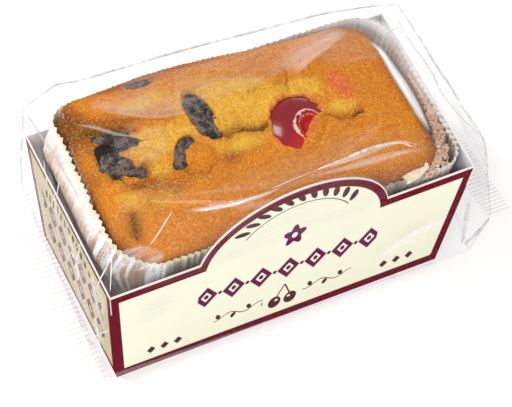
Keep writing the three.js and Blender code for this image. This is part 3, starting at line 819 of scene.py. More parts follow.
# Loose grains of crumb strewn over the crust, thickest where it has split.
def looseCrumbs():
    start, given = newGroup("looseCrumbs", {"Per square metre": 150000.0, "Size": 0.00028, "Seed": 8})
    up = start.node("GeometryNodeInputNormal").parts()[2]
    patch = start.node("ShaderNodeTexNoise", {}, {"Scale": 90.0, "Detail": 2.0})
    share = patch.past(0.5, 0.2) + start.named("opened") * 1.5 + start.named("yellow")
    density = given["Per square metre"] * up.past(0.45, 0.2) * share * (1 - start.named("valley").past(0.8, 0.2))
    points = start.node("GeometryNodeDistributePointsOnFaces", {"distribute_method": "RANDOM"}, {
        "Mesh": given["Geometry"], "Density": density, "Seed": given["Seed"]})
    grain = start.node("GeometryNodeMeshIcoSphere", {}, {"Radius": given["Size"], "Subdivisions": 1})
    spread = start.anySize(0.45, 1.35, 4)
    scale = start.node("ShaderNodeCombineXYZ", {}, {"X": spread, "Y": spread * 0.8, "Z": spread * 0.65})
    return endGroup(given, start.strewn(points, grain, scale, 5))


def grainFinish():
    material, start, place = newFinish("crumbGrain")
    blotch, crumb = start.noise(place, 3.0, 2), start.noise(place, 0.5, 1)
    dark, light, pale = crustColours["looseGrains"]
    shade = layered(dark, (blotch.past(0.5, 0.2), light), (crumb.past(0.6, 0.1) * 0.5, pale))
    return useShader(material, start.principled(shade, 0.5 + crumb * 0.3, {"Specular IOR Level": 0.1}))


cake = buildLoaf()
runGroup(cake, crumbRelief(), {"Depth": loaf["relief"] * mm, "Finish": crustFinish()})
finishPiece(cake, "cake_loaf", "cake_loaf")
crumbs = addObject("crustCrumbs", cake.data.copy())
runGroup(crumbs, looseCrumbs(), {"Finish": grainFinish()})
finishPiece(crumbs, "cake_loaf")
print("loaf baked")


# the fruit
fruitShapes = {
    "grow": {"raisin_3": (0.93, 1.02, 1.1), "raisin_4": (1.0, 1.3, 1.1), "raisin_5": (1.0, 1.15, 1.0)},
    "lift": {"raisin_1": 1.0, "raisin_2": 1.1, "raisin_3": 0.6, "raisin_4": 0.9, "raisin_5": 0.0,
             "cherry_half": -1.35},
    "shift": {"raisin_4": (0.0, 0.9), "raisin_3": (0.1, -0.3)},
    "cup": (-2.7, -5.0, 5.0, 2.2),       # the stone's hollow in the cherry: place, radius and depth
    "glintRing": (19.2, -7.0),               # the middle of the painted glint round the hollow
    "thin": (15.0, -4.0),                # where the cherry starts to be thinner
    "ballDetail": {"cherry": 6},
    "cherryReds": ((0.25, 0.006, 0.012), (0.52, 0.010, 0.007), (0.52, 0.010, 0.008)),   # dark, thin, hollow
    # the pale pink of the painted glint
    "glintPink": (1.0, 0.56, 0.47),
    "pinks": ((0.66, 0.045, 0.038), (0.74, 0.085, 0.05)), "pinkCrumb": ((0.72, 0.22, 0.02), (0.82, 0.30, 0.07)),
    # raisin colours: near black, a grey painted as sheen, and pale bloom
    "raisin": ((0.005, 0.002, 0.002), (0.135, 0.080, 0.060), (0.34, 0.26, 0.22)),
}


def eggMesh(name, node, shape, finish):
    (cx, cy), half, turn, _ = fruit[node]
    half = np.array(half) * np.array(fruitShapes["grow"].get(node, (1, 1, 1)))
    edit = bmesh.new()
    bmesh.ops.create_icosphere(edit, subdivisions=fruitShapes["ballDetail"].get(node, 5), radius=1)
    mesh = bpy.data.meshes.new(name)
    edit.to_mesh(mesh)
    edit.free()
    ball = np.array([v.co[:] for v in mesh.vertices])
    c, s = math.cos(math.radians(turn)), math.sin(math.radians(turn))
    places = shape(ball * half, ball) @ np.array([[c, s, 0], [-s, c, 0], [0, 0, 1]])
    dx, dy = fruitShapes["shift"].get(node, (0, 0))
    places += np.array([cx + dx, cy + dy, eggTop(fruit[node]) - half[2] + fruitShapes["lift"].get(node, 0)])
    mesh.vertices.foreach_set("co", (places * mm).ravel())
    setSmooth(mesh)
    mesh.materials.append(finish)
    return addObject(name, mesh)


# A dried fruit: uneven all over, with sharp folds in its skin.
def driedShape(shift, depth=0.2):
    def shape(places, ball):
        swell = 1 + 0.25 * (softNoise(places, 5.5, shift) - 0.5) * (1 - 0.5 * np.abs(ball[:, 2]))
        folds = 1 - np.abs(softNoise(places, 3.0, shift + 2) - 0.5) * 2
        fine = 1 - np.abs(softNoise(places, 1.3, shift + 4) - 0.5) * 2
        deep = depth * folds ** 5 + 0.35 * depth * fine ** 3
        return places * swell[:, None] - ball * (deep * 5)[:, None] * np.array([0.6, 0.6, 1.0])
    return shape


def cherryShape(places, ball):
    cupX, cupY, radius, depth = fruitShapes["cup"]
    r = np.hypot(places[:, 0] - cupX, places[:, 1] - cupY) / radius
    out = places * (1 + 0.03 * (softNoise(places, 6, 2) - 0.5))[:, None]
    up = smoothStep(0, 1.5, places[:, 2])
    inner = smoothStep(-5.5, -2.5, places[:, 1])
    out[:, 2] += up * (0.8 * inner * np.exp(-((r - 1.1) / 0.13) ** 2) - depth * (1 - smoothStep(0.45, 1.0, r)))
    return out


def cherryFinish():
    material, start, place = newFinish("glaceCherry")
    cloud, fine = start.noise(place, 3.2, 2), start.noise(place, 0.8, 2)
    x, y, _ = place.millimetres()
    (sx, sy), (tx, ty) = fruitShapes["glintRing"], fruitShapes["thin"]
    ring = ((x - sx) * (x - sx) + (y - sy) * (y - sy)) ** 0.5
    cup = 1 - ring.past(4.4, 1.2)
    low = ((x - tx) * 0.5 - (y - ty) * 0.86).past(3.0, 6.0)
    # a painted glint, pale pink round the hollow's rim on the side towards the lamp, with a fainter thread of it
    # inside
    glintSide = (y - x + sx - sy).past(1.5, 4.5)
    glintRing = glintSide * (cloud.past(0.5, 0.15) * 0.75 + 0.08) - (ring - 5.9 + (cloud - 0.5) * 1.8).size()
    glintThread = glintSide * fine.past(0.45, 0.15) * 0.35 - (ring - 4.4 + (fine - 0.5) * 0.8).size()
    glintRing = glintRing.past(0, 0.14).most(glintThread.past(0, 0.12) * 0.4)
    dark, thin, hollow = fruitShapes["cherryReds"]
    shade = layered(dark, ((low * 0.8 + (cloud - 0.5) * 0.5).past(0.4, 0.4), thin),
                    ((cup + (cloud - 0.5) * 0.8).past(0.5, 0.4), hollow),
                    (glintRing * (0.5 + fine.past(0.45, 0.15) * 0.5), fruitShapes["glintPink"]))
    return useShader(material, start.principled(shade, 0.16 + fine * 0.12, {
        "Normal": (cloud + fine * 0.3).bump(0.2, 0.4), "Coat Weight": 0.35, "Coat Roughness": 0.05,
        "Specular IOR Level": 0.3, "Subsurface Weight": 0.2, "Subsurface Radius": (1.0, 0.15, 0.1),
        "Subsurface Scale": 0.0015}))


def pinkFinish():
    material, start, place = newFinish("cherryUnderCrumb")
    blotch = start.noise(place, 2.2, 3, 0.6)
    crumb, fine = start.noise(place, 0.75, 2, 0.6), start.noise(place, 0.36, 1)
    x, y, _ = place.millimetres()
    px, py = loaf["rosy"][0][:2]
    out = ((x - px) * (x - px) / 14 + (y - py) * (y - py) / 45) ** 0.5
    shade = layered(blotch.past(0.5, 0.2).colours(*fruitShapes["pinks"]),
                    ((out + (crumb - 0.5) * 1.2).past(0.8, 0.45), fruitShapes["pinkCrumb"][0]),
                    (crumb.past(0.56, 0.1) * 0.6, fruitShapes["pinkCrumb"][1]))
    return useShader(material, start.principled(shade, 0.5 + crumb * 0.25, {
        "Normal": (crumb + fine * 0.4).bump(0.9, 0.4), "Specular IOR Level": 0.15}))


def raisinFinish():
    material, start, place = newFinish("driedFruit")
    cloud, fine = start.noise(place, 2.4, 3), start.noise(place, 0.55, 3, 0.7)
    black, sheenGrey, bloom = fruitShapes["raisin"]
    # grey patches painted as the raisins' sheen
    shade = layered(black, (cloud.past(0.53, 0.09), sheenGrey),
                    (fine.past(0.57, 0.06) * cloud.past(0.42, 0.1) * 0.6, bloom))
    return useShader(material, start.principled(shade, 0.22 + fine * 0.3, {
        "Normal": (fine * 0.4 + cloud).bump(0.8, 0.7), "Specular IOR Level": 0.55}))


finishPiece(eggMesh("glaceCherry", "cherry", cherryShape, cherryFinish()), "cherry", "cherry")
finishPiece(eggMesh("buriedCherry", "cherry_half", driedShape(2, 0.1), pinkFinish()), "cherry_half", "cherry_half")
darkFinish = raisinFinish()
for i in range(1, 6):
    finishPiece(eggMesh(f"raisin{i}", f"raisin_{i}", driedShape(i + 1), darkFinish), "raisin", f"raisin_{i}")
print("fruit set in")

# the paper case
paperCaseSizes = {
    "centre": (2.95, 1.0), "top": (65.95, 34.9), "foot": (61.2, 31.1, 0.95),
    "corners": (17.5, 10, 15, 8.5), "outlineSteps": (400, 240, 90),
    "edge": 68.8, "backRise": 2.8, "lean": 3.4, "droop": 2.4,
    "backDip": (1.5, 14, 34),            # depth, place along the back and spread
    "pleats": 148, "perPleat": 6, "rows": 20, "pleatDepth": 1.0, "footDepth": 0.35, "thickness": 0.14,
    "tooth": 0.55, "step": 1.0, "ragged": 1.6, "torn": 2.4,
    "drawnIn": 0.5,                      # halfway up
    "belly": (4.6, 0.84, 0.17, 0.12),    # at the left end: reach, share of the height, spread, fade under the rim
}

paperColours = {
    "white": (0.85, 0.79, 0.74), "cakeBehind": (0.66, 0.46, 0.35), "cutEdge": (0.88, 0.82, 0.52),
    "fan": ((0.52, 0.36, 0.27), (0.96, 0.96, 0.98)), "shaded": ((0.26, 0.18, 0.13), (0.52, 0.46, 0.40)),
    "inside": ((0.66, 0.70, 0.72), (0.90, 0.91, 0.92)), "bakedOn": ((0.48, 0.30, 0.19), (0.74, 0.56, 0.42)),
}


def buildPaper():
    p = paperCaseSizes
    count = p["pleats"] * p["perPleat"]

    def even(half, centre):
        points, _ = roundedOutline(half, p["corners"], centre, *p["outlineSteps"])
        closed = np.vstack([points, points[:1]])
        length = np.concatenate([[0], np.cumsum(np.linalg.norm(np.diff(closed, axis=0), axis=1))])
        at = np.linspace(0, length[-1], count, endpoint=False)
        return np.stack([np.interp(at, length, closed[:, k]) for k in (0, 1)], axis=1)

    top, bottom = even(p["top"], p["centre"]), even(p["foot"], (0, 0))
    out = np.roll(top, -1, axis=0) - np.roll(top, 1, axis=0)
    out = np.stack([out[:, 1], -out[:, 0]], axis=1) / np.linalg.norm(out, axis=1, keepdims=True)
    u = (top[:, 0] - p["centre"][0]) / p["top"][0]
    v = (top[:, 1] - p["centre"][1]) / p["top"][1]
    edge = p["edge"] + p["backRise"] * v - p["lean"] * u * (0.65 + 0.35 * v) - p["droop"] * np.maximum(0, u) ** 3
    phase = np.arange(count) / p["perPleat"]
    pleat = phase.astype(int)
    rng = np.random.default_rng(5)
    steps = rng.random(p["pleats"]) * p["step"]
    torn = np.repeat(rng.random(p["pleats"] // 2) * p["torn"], 2)
    # its teeth are plain at the front and right, ragged at the left and nearly flat at the back
    atLeft, atBack = smoothStep(-0.8, -0.95, u), smoothStep(0.6, 0.9, v)
    tooth = p["tooth"] * (1 - 0.5 * atLeft) * (1 - 0.7 * atBack)
    edge = edge + steps[pleat] * (1 - 0.5 * atBack) + tooth * np.abs((phase % 1) * 2 - 1) - 0.6
    edge = edge + (softNoise(flat(top[:, 0], top[:, 1]), 1.3, 8) - 0.5) * p["ragged"] * atLeft
    dip, dipPlace, dipSpread = p["backDip"]
    edge = edge - dip * np.exp(-((top[:, 0] - dipPlace) / dipSpread) ** 2) * smoothStep(0.6, 0.95, v)
    edge = edge + (torn[pleat] - 0.6) * atLeft
    belly, high, spread, fade = p["belly"]
    low, shares, places = p["foot"][2], np.linspace(0, 1, p["rows"] + 1), []
    for t in shares:
        at = bottom + (top - bottom) * t - out * (p["drawnIn"] * math.sin(math.pi * t))
        bulge = math.exp(-((t - high) / spread) ** 2) * min(1, (1 - t) / fade)
        at[:, 0] -= belly * np.maximum(0, -out[:, 0]) ** 2 * bulge
        places.append(np.column_stack([at, low + (edge - low) * t]))
    made = addMesh("pleatedCase", np.concatenate(places), ringFaces(len(shares), count))
    keepValues(made, across=np.tile(phase, len(shares)), up=np.repeat(shares, count))
    made.data.attributes.new("outward", "FLOAT_VECTOR", "POINT").data.foreach_set(
        "vector", np.tile(np.column_stack([out, np.zeros(count)]), (len(shares), 1)).ravel())
    return made


# Folds the case's wall in and out as it goes round.
def pleatFolds():
    start, given = newGroup("pleatFolds", {"Depth": 0.001, "Foot depth": 0.0003, "Unevenness": 0.5, "Seed": 2})
    fold = start.maths("PINGPONG", start.named("across"), 0.5) * 2
    place = start.node("GeometryNodeInputPosition")
    uneven = start.seededNoise(place, given["Seed"], 160.0) - 0.5
    depth = given["Foot depth"] + (given["Depth"] - given["Foot depth"]) * start.named("up")
    depth = depth * (1 - place.parts()[1].past(0.028, 0.006) * 0.6)
    shift = (0 - fold) * depth * (1 + uneven * given["Unevenness"] * 2)
    return endGroup(given, given["Geometry"].moved(start.named("outward", "FLOAT_VECTOR").longer(shift)))


def paperFinish():
    material, start, place = newFinish("bakingPaper")
    c, (x, y, z) = paperColours, place.millimetres()
    across, up, inner = readValues(start, "across", "up", "inner")
    blotch, fibre = start.noise(place, 6, 4, 0.6), start.noise(place, 0.8, 3, 0.6)
    # streaks that follow the pleats
    streak = start.noise(start.node("ShaderNodeCombineXYZ", {}, {"X": across * 1.1, "Y": up * 1.6}), 1000, 3, 0.6)
    # cake shows through where the paper lies against it, less so near its top edge
    behind = (blotch + (streak - 0.5) * 0.6 - up.past(0.93, 0.07) * 0.3).past(0.48, 0.18)
    # the fanned corner is bright, with brown between its folds, and the front is in the cake's shade
    fan = (0 - x).past(47.5, 1) * (0 - x - y).past(76, 4) * (z - 44).past(0, 6)
    fanned = (streak + (fibre - 0.5) * 0.3).past(0.51, 0.06).colours(*c["fan"])
    dim = (x + 47).past(0, 1) * (0 - y).past(26, 2)
    dimmed = streak.past(0.5, 0.15).colours(*c["shaded"])
    # the inside is pale and cool, and the right end has baked-on crust along its top
    cool = streak.past(0.5, 0.2).colours(*c["inside"])
    stain = x.past(62, 2) * (z - 58.5 + (blotch - 0.5) * 6).past(0, 1.2) * (0.975 - up).past(0, 0.012)
    stain = stain * (24 - y).past(0, 5)
    crumb = fibre.past(0.5, 0.12).colours(*c["bakedOn"])
    shade = layered(c["white"], (behind * 0.85, c["cakeBehind"]), (fan, fanned),
                    (dim * (1 - x.past(45, 3) * 0.9), dimmed), (inner * 0.8, cool), (stain * inner, crumb),
                    # slightly yellow along its cut edge
                    (up.past(0.97, 0.02) * (0 - x).past(20, 20) * 0.6, c["cutEdge"]))
    # light comes through the thin paper near its rim
    left = (0 - x).past(58, 2) * (1 - inner)
    glow = (left * up.past(0.35, 0.3)).most(inner * up.past(0.8, 0.15) * 0.55)
    glow = glow * (1 - (0 - y).past(27, 3) * (1 - fan))
    return useShader(material, start.principled(shade, 0.5 + fibre * 0.2, {
        "Normal": (fibre + streak * 0.5).bump(0.3, 0.2), "Specular IOR Level": 0.2,
        "Emission Color": (glow * (1 - dim) * (1 - stain)).colours((0, 0, 0), shade), "Emission Strength": 0.06}))


# Gives the case its wall, marking the wall's inner face.
def addWall(piece, thickness):
    edit = bmesh.new()
    edit.from_mesh(piece.data)
    mark = edit.verts.layers.float.new("inner")
    edit.normal_update()
    outer, copies = list(edit.faces), {}
    for v in list(edit.verts):
        copies[v] = edit.verts.new(v.co - v.normal * thickness, v)
        copies[v][mark] = 1.0
    rims = [e for e in edit.edges if e.is_boundary]
    for f in outer:
        edit.faces.new([copies[v] for v in reversed(f.verts)], f)
    for e in rims:
        loop = e.link_loops[0]
        a, b = loop.vert, loop.link_loop_next.vert
        edit.faces.new([b, a, copies[a], copies[b]])
    edit.to_mesh(piece.data)
    edit.free()
    setSmooth(piece.data)


case = buildPaper()
runGroup(case, pleatFolds(), {"Depth": paperCaseSizes["pleatDepth"] * mm,
                              "Foot depth": paperCaseSizes["footDepth"] * mm, "Finish": paperFinish()})
addWall(case, paperCaseSizes["thickness"] * mm)
finishPiece(case, "paper_case", "paper_case")
print("case pleated")

# crumb stuck to the case
stuckCrumb = {
    # course along the case's rim, and how thick the heap is at each point
    "course": [(66.8, 8, 61.2), (66.8, 2, 62.0), (66.5, -8, 62.8), (65.6, -18, 61.6), (63, -26, 62.2),
               (58.5, -30.5, 63.0), (52, -33, 62.6)],
    "spread": [0.2, 0.5, 0.9, 1.8, 3.0, 2.6, 1.2],
    "size": 0.6, "perMillimetre": 14,
    "colours": ((0.54, 0.29, 0.18), (0.76, 0.51, 0.37), (0.92, 0.80, 0.70)),
}


# Broken crumbs heaped along a course.
def heapedCrumbs():
    start, given = newGroup("heapedCrumbs", {"Size": 0.0007, "Seed": 6})
    lump = start.node("GeometryNodeMeshIcoSphere", {}, {"Radius": given["Size"], "Subdivisions": 2})
    rough = start.node("ShaderNodeTexNoise", {}, {"Scale": 1400.0, "Detail": 1.0}) - 0.5
    lump = lump.moved(start.node("GeometryNodeInputNormal").longer(rough * given["Size"] * 1.5))
    spread = start.anySize(0.4, 1.4, given["Seed"])
    return endGroup(given, start.strewn(given["Geometry"], lump, spread, given["Seed"] + 1))


def heapPlaces():
    c, rng, places = stuckCrumb, np.random.default_rng(17), []
    points = [(np.array(point), spread) for point, spread in zip(c["course"], c["spread"])]
    for (a, wide), (b, wider) in zip(points, points[1:]):
        count = int(np.linalg.norm(b - a) * c["perMillimetre"] * (wide + wider) / 2)
        for t in rng.random(count):
            reach = wide + (wider - wide) * t
            off = rng.normal(0, 0.45, 3) * reach * np.array([1.0, 1.0, 0.55])
            places.append(a + (b - a) * t + off - np.array([0.5 * reach, 0, 0]))
    return places


def heapFinish():
    material, start, place = newFinish("brownCrumb")
    blotch, crumb = start.noise(place, 2.2, 2), start.noise(place, 0.6, 2, 0.6)
    dark, light, pale = stuckCrumb["colours"]
    shade = layered(dark, (blotch.past(0.5, 0.2), light), (crumb.past(0.56, 0.1) * 0.7, pale))
    return useShader(material, start.principled(shade, 0.6 + crumb * 0.2, {
        "Normal": crumb.bump(0.8, 0.3), "Specular IOR Level": 0.15}))


heap = addMesh("stuckCrumb", heapPlaces(), [])
runGroup(heap, heapedCrumbs(), {"Size": stuckCrumb["size"] * mm, "Finish": heapFinish()})
finishPiece(heap, "cake_loaf")

# a curled scrap of baking paper lying at the front
scrapSizes = {
    "corner": (43.5, -33.4, 64.0), "run": (9.5, 2.4, 1.6),   # where it starts and how far it goes
    "width": 6.4, "curl": 2.2, "rise": 1.7, "thickness": 0.12, "rows": 12, "columns": 24,
    "colours": ((0.80, 0.62, 0.42), (0.93, 0.84, 0.70), (0.60, 0.36, 0.20)),
}


def buildScrap():
    p, places = scrapSizes, []
    rows, columns = p["rows"], p["columns"]
    for r in range(rows + 1):
        for k in range(columns + 1):
            u, v = k / columns, r / rows
            ragged = 0.5 * math.sin(7 * u + 2) + 0.35 * math.sin(17 * u)
            wide = p["width"] * (0.75 + 0.25 * math.sin(math.pi * u)) + ragged * (v - 0.5)
            a = (v - 0.5) * p["curl"]
            x, y, z = (start + run * u for start, run in zip(p["corner"], p["run"]))
            places.append((x + 0.6 * math.sin(5 * v), y + wide / p["curl"] * math.sin(a),
                           z + p["rise"] * (math.cos(a) - 0.4) + 0.3 * math.sin(6 * u)))
    faces = [(i, i + 1, i + columns + 2, i + columns + 1)
             for r in range(rows) for i in range(r * (columns + 1), r * (columns + 1) + columns)]
    made = addMesh("paperScrap", places, faces)
    addWall(made, p["thickness"] * mm)
    return made


def scrapFinish():
    material, start, place = newFinish("scrapPaper")
    blotch, fibre = start.noise(place, 2.5, 3), start.noise(place, 0.7, 3, 0.6)
    tan, pale, brown = scrapSizes["colours"]
    shade = layered(tan, (blotch.past(0.5, 0.25), pale), (fibre.past(0.6, 0.1) * 0.4, brown))
    return useShader(material, start.principled(shade, 0.6 + fibre * 0.2))


scrap = buildScrap()
scrap.data.materials.append(scrapFinish())
finishPiece(scrap, "paper_case")
print("crumb stuck on")

# the film
film = {
    "slack": 1.6, "clear": 0.45, "archClear": 0.7, "overCrust": 0.6,
    "heart": (0, 0, 42), "reach": (88, 42, 50), "cuts": 118, "softening": 24,
    # height, squeeze along each axis, size and shift of each kind of tension wrinkle
    "wrinkles": [(0.8, (0.3, 1.0, 0.5), 5, 1), (0.4, (1.0, 0.25, 0.8), 3.2, 6)],
    "tint": (0.99, 0.993, 0.996), "haze": ((0.46, 0.48, 0.52), (0.95, 0.95, 0.96)),
    "sheenWhites": ((0.94, 0.94, 0.95), (0.98, 0.97, 0.96)),
    "paintedFoldLines": ((0.42, 0.44, 0.48), (0.97, 0.97, 0.97)),
    "crustBack": [(-59, 37.6, 83.4), (-45, 37.4, 82.2), (-20, 37.4, 81), (5, 37.4, 78.4), (26, 37.4, 75.4),
                  (46, 37.4, 72.6), (60, 35.8, 71.2)],
    "crustMiddle": [(-44, 4, 80.8), (-46, 26, 83.8), (-20, 26, 83.4), (4, 22, 81.4), (42, 3, 80)],
    "crustFront": [(-53, -34.8, 69.6), (52, -33.6, 73.2)],
    "paperEnds": [(-67, -26, 70), (-70, 38.5, 76), (69.5, 23, 70.4), (72, -20, 69.8)],
    "rightFold": [(76.6, 37, 63), (78.5, -28, 62), (73.6, -38.1, 62.5), (76, -36.5, 4)],
    "peak": [(-58, 38.7, 84.2), (-70, 38.5, 76), (-67, 14, 74.5), (-60, 24, 82.2), (-47, 19, 82.4),
             (-45, 36.7, 82), (-69, 36.5, 63), (-46, 36.5, 63)],
    "brow": [(-46, -12, 76.2), (47, -14, 76), (-46, -30, 69.5), (46, -30, 72)],
    "leftSeam": [(-70.6, 38.3, 30), (-70.8, -36.3, 10)],
    "rightSeam": [(86, 35.7, 6.5), (83, -35.2, 20)],
    "finWidth": 8.4, "finTuck": 1.5, "ribPitch": 1.8, "ribHeight": 0.35, "foldLift": 0.15, "sheenLift": 0.25,
    # white veils painted over the crust as the film's reflections: place, half sizes, turn and strength
    "paintedVeils": [(-56, -30, 9, 4.6, -20, 0.30), (-46, -18, 18, 11, 0, 0.035), (-40, 6, 11, 9, 0, 0.09),
              (-4, -30, 66, 13, 2, 0.05), (40, -28, 26, 9, 0, 0.06), (-2, 24, 46, 13, 0, 0.13),
              (48, 22, 20, 14, 0, 0.11)],
    # soft white sheens: half width, strength, whether only on the course's left, course
    "sheens": [
        (2.6, 0.92, False, [(54.6, 19, 75.2), (55.9, 15.2, 75.0), (56.5, 7.7, 75.1), (56.8, -1.7, 75.0),
                            (57.2, -10.8, 74.6), (57.4, -18.2, 73.5), (57.2, -24, 73.0)]),
        (7.0, 0.42, False, [(52, 31.5, 73), (60.5, 27.5, 72.3), (64.6, 20.1, 72.0), (65.2, 9.1, 72.1),
                            (65.8, -3.2, 72.4), (66.4, -13.5, 71.8), (67.4, -22.6, 70.7), (68.4, -28.3, 68.3),
                            (69.2, -34, 66.4)]),
        (14, 0.34, True, [(22, 10.5, 80.4), (27.0, 13.9, 80.0), (34.2, 17.4, 78.3), (41.9, 20.8, 76.6),
                          (51, 25, 74.4)]),
        (8, 0.22, True, [(-52, 26.5, 83), (-49.7, 24.1, 82.9), (-43.8, 19.4, 82.6), (-36.4, 15.0, 82.2),
                         (-28.3, 11.9, 81.8), (-19, 10.6, 81.6)]),
        (0.9, 0.20, False, [(-58, 22.4, 81.2), (-54.5, 20, 81.3), (-51.1, 17.6, 81.5), (-46.0, 12.2, 81.6),
                            (-39, 8.6, 81.4)]),
        (3.2, 0.30, False, [(-65.6, 34, 78.8), (-65.4, 25.7, 78.6), (-65.6, 17.9, 77), (-66.2, 9.0, 75.4),
                            (-66.8, -4.4, 73.4), (-66.6, -16.4, 72), (-65, -26, 70.6)]),
        (1.3, 0.42, False, [(-36, -24, 79.6), (-34.0, -25.4, 80.4), (-28.3, -28.8, 83.3),
                            (-20.7, -32.1, 86.6), (-12.7, -34.4, 89.7), (-6, -35, 90.5)]),
        (1.6, 0.30, False, [(4.7, -35.8, 91.0), (17.4, -34.4, 88.0), (31.3, -31.3, 81.2), (44.2, -28.4, 74.8),
                            (52.3, -29.9, 73.5)]),
        (1.1, 0.35, False, [(8, -32.8, 89.6), (20.2, -31.3, 86.8), (30.7, -28.4, 82.3), (43.2, -24.3, 75.8),
                            (48.4, -25.8, 74.6), (52.2, -28.2, 73.6)]),
    ],
    # glares: on which side, how far out, then place, half sizes, turn and strength
    "glares": [("front", -30, (48, 30, 18, 5, 25, 0.5)), ("front", -30, (-52, 45, 10, 8, 40, 0.12)),
               ("left", -66, (-10, 52, 14, 2.2, 68, 0.55)), ("left", -66, (-31, 30, 9, 1.6, 60, 0.6)),
               ("left", -66, (6, 60, 9, 1.4, 75, 0.5)), ("left", -66, (-27, 54, 11, 1.6, 80, 0.5))],
    # painted lines along folds drawn tight, white ones as glints and grey ones as the film's edges: half width, how
    # white, course
    "folds": [
        (0.42, 1.0, [(-33.6, -26.2, 80.4), (-25.5, -30.4, 84.3), (-21.0, -32.2, 86.2), (-13.7, -33.8, 88.9)]),
        (0.25, 0.6, [(-10, -33.6, 89.6), (1.1, -32.9, 90.0), (8, -32.0, 89.2)]),
        (0.6, 1.0, [(8, -32, 89.2), (18.8, -30.3, 86.9), (31.5, -26.9, 82.1), (44.1, -24.4, 75.6),
                    (48.5, -27.5, 74.4)]),
        (0.36, 0.8, [(-40.3, -21.1, 77.4), (-43.7, -22.7, 74.3), (-47.5, -25.1, 72.5), (-51.2, -27.2, 71.6)]),
        (0.22, 0.9, [(-68.8, 8.8, 73.1), (-70.3, 6.5, 70.9), (-71.2, 5.6, 65.9)]),
        (0.22, 0.9, [(-70.6, 18.6, 71.7), (-70.9, 16.0, 67.4), (-71.2, 13.4, 63.1)]),
        (0.45, 1.0, [(-71.1, -3.7, 41.5), (-71.7, -10.5, 56.7), (-70.7, -14.5, 66.4)]),
        (0.45, 1.0, [(-70.7, -14.5, 66.4), (-71.8, -14.1, 57.6), (-71.1, -10.5, 43.5)]),
        (0.6, 1.0, [(-71.0, -26.2, 21.1), (-70.8, -32.0, 33.3), (-70.1, -36.7, 42.6)]),
        (0.30, 1.0, [(-63.4, -23.1, 71.2), (-66.4, -29.3, 68.1), (-69.2, -35.0, 64.2)]),
        (0.30, 1.0, [(-62.5, -24.3, 71.0), (-67.2, -27.7, 68.8), (-70.5, -29.5, 64.6), (-71.4, -30.1, 57.1)]),
        (0.9, 0.1, [(69.5, -37.6, 44.5), (70.4, -37.2, 30.5), (71.2, -36.8, 16.9), (71.2, -36.7, 11.3)]),
        (0.8, 0.12, [(82.7, -35.2, 19.5), (78.7, -36.1, 16.0), (74.3, -36.7, 11.4), (72.1, -36.7, 10.7)]),
        (0.35, 0.2, [(72.0, -36.7, 11.5), (73.5, -36.6, 9.4), (75, -36.6, 7.6)]),
        (0.30, 0.25, [(68.7, -33.1, 66.6), (69.3, -34.8, 65.5), (69.8, -37.0, 64.5)]),
        (0.25, 0.3, [(70.9, 27.2, 68.6), (69.9, 15.8, 70.1), (71.3, 4.8, 69.4), (70.0, -7.7, 70.4),
                     (70.5, -14.4, 70.3), (72.2, -21.4, 69.4), (76.9, -25.2, 63.8)]),
        (0.25, 0.3, [(69.0, 22.6, 70.4), (65.8, 22.2, 71.4), (61.5, 20.2, 72.7)]),
        (0.25, 0.3, [(-70.7, 37.5, 67.8), (-70.3, 35.8, 72.2), (-69.8, 33.5, 74.4), (-70.2, 30.7, 73.5)]),
        (0.20, 0.5, [(-64.8, 37.5, 79.7), (-64.2, 32.8, 79.5), (-64.8, 26.9, 78.5), (-63.9, 20.3, 77.8)]),
        (0.6, 0.12, [(-70, 38.5, 76), (-58, 38.7, 84), (-45, 37.4, 82.2), (-20, 37.4, 81), (5, 37.4, 78.4),
                     (26, 37.4, 75.4), (46, 37.4, 72.6), (60, 35.8, 71.2), (70, 36.4, 66), (76.6, 37, 63)]),
        (0.5, 0.15, [(76.6, 37, 63), (77.6, 10, 63), (78.5, -28, 62), (73.6, -38, 62.5)]),
        (0.5, 0.15, [(78.5, -28, 62), (81, -32, 40), (83, -35, 20)]),
        (0.6, 0.15, [(-70, 38.5, 76), (-70.6, 38.3, 30)]),
        (0.6, 0.25, [(-70, 38.5, 76), (-67, 14, 74.5), (-66, -2, 73)]),
    ],
}
filmValues = ("crease", "rib", "tight", "cloudy", "pouch")


def hullTree(points):
    edit = bmesh.new()
    for point in points:
        edit.verts.new(point)
    bmesh.ops.convex_hull(edit, input=edit.verts)
    bmesh.ops.delete(edit, geom=[v for v in edit.verts if not v.link_faces], context="VERTS")
    tree = BVHTree.FromBMesh(edit)
    edit.free()
    return tree


# How far the tray's front lies from the middle at a height.
def trayFront(z):
    return tray["foot"][1] + (tray["rim"][1] - tray["foot"][1]) * z / tray["rim"][2]


def filmHulls():
    rx, ry, rz = tray["rim"]
    fx, fy = tray["foot"]
    s, near = film["slack"], film["clear"]
    body = []
    for name in ("crustBack", "crustMiddle", "crustFront", "paperEnds", "rightFold", "leftSeam", "rightSeam"):
        body += film[name]
    body += [(sx * (fx + s), sy * (fy + 0.6), s) for sx in (-1, 1) for sy in (-1, 1)]
    body += [(-rx - s, ry + s, rz), (-rx - s, -ry - near, rz)]
    arch, reach = list(film["brow"]), tray["archRadius"] + film["archClear"]
    for i in range(49):
        a = math.pi * i / 48
        z = max(rz - 1, tray["archCentre"] + reach * math.sin(a))
        arch += [(reach * math.cos(a), -trayFront(z) - near, z), (reach * math.cos(a), -ry + 1, z)]
    return [hullTree(points) for points in (body, film["peak"], arch)]


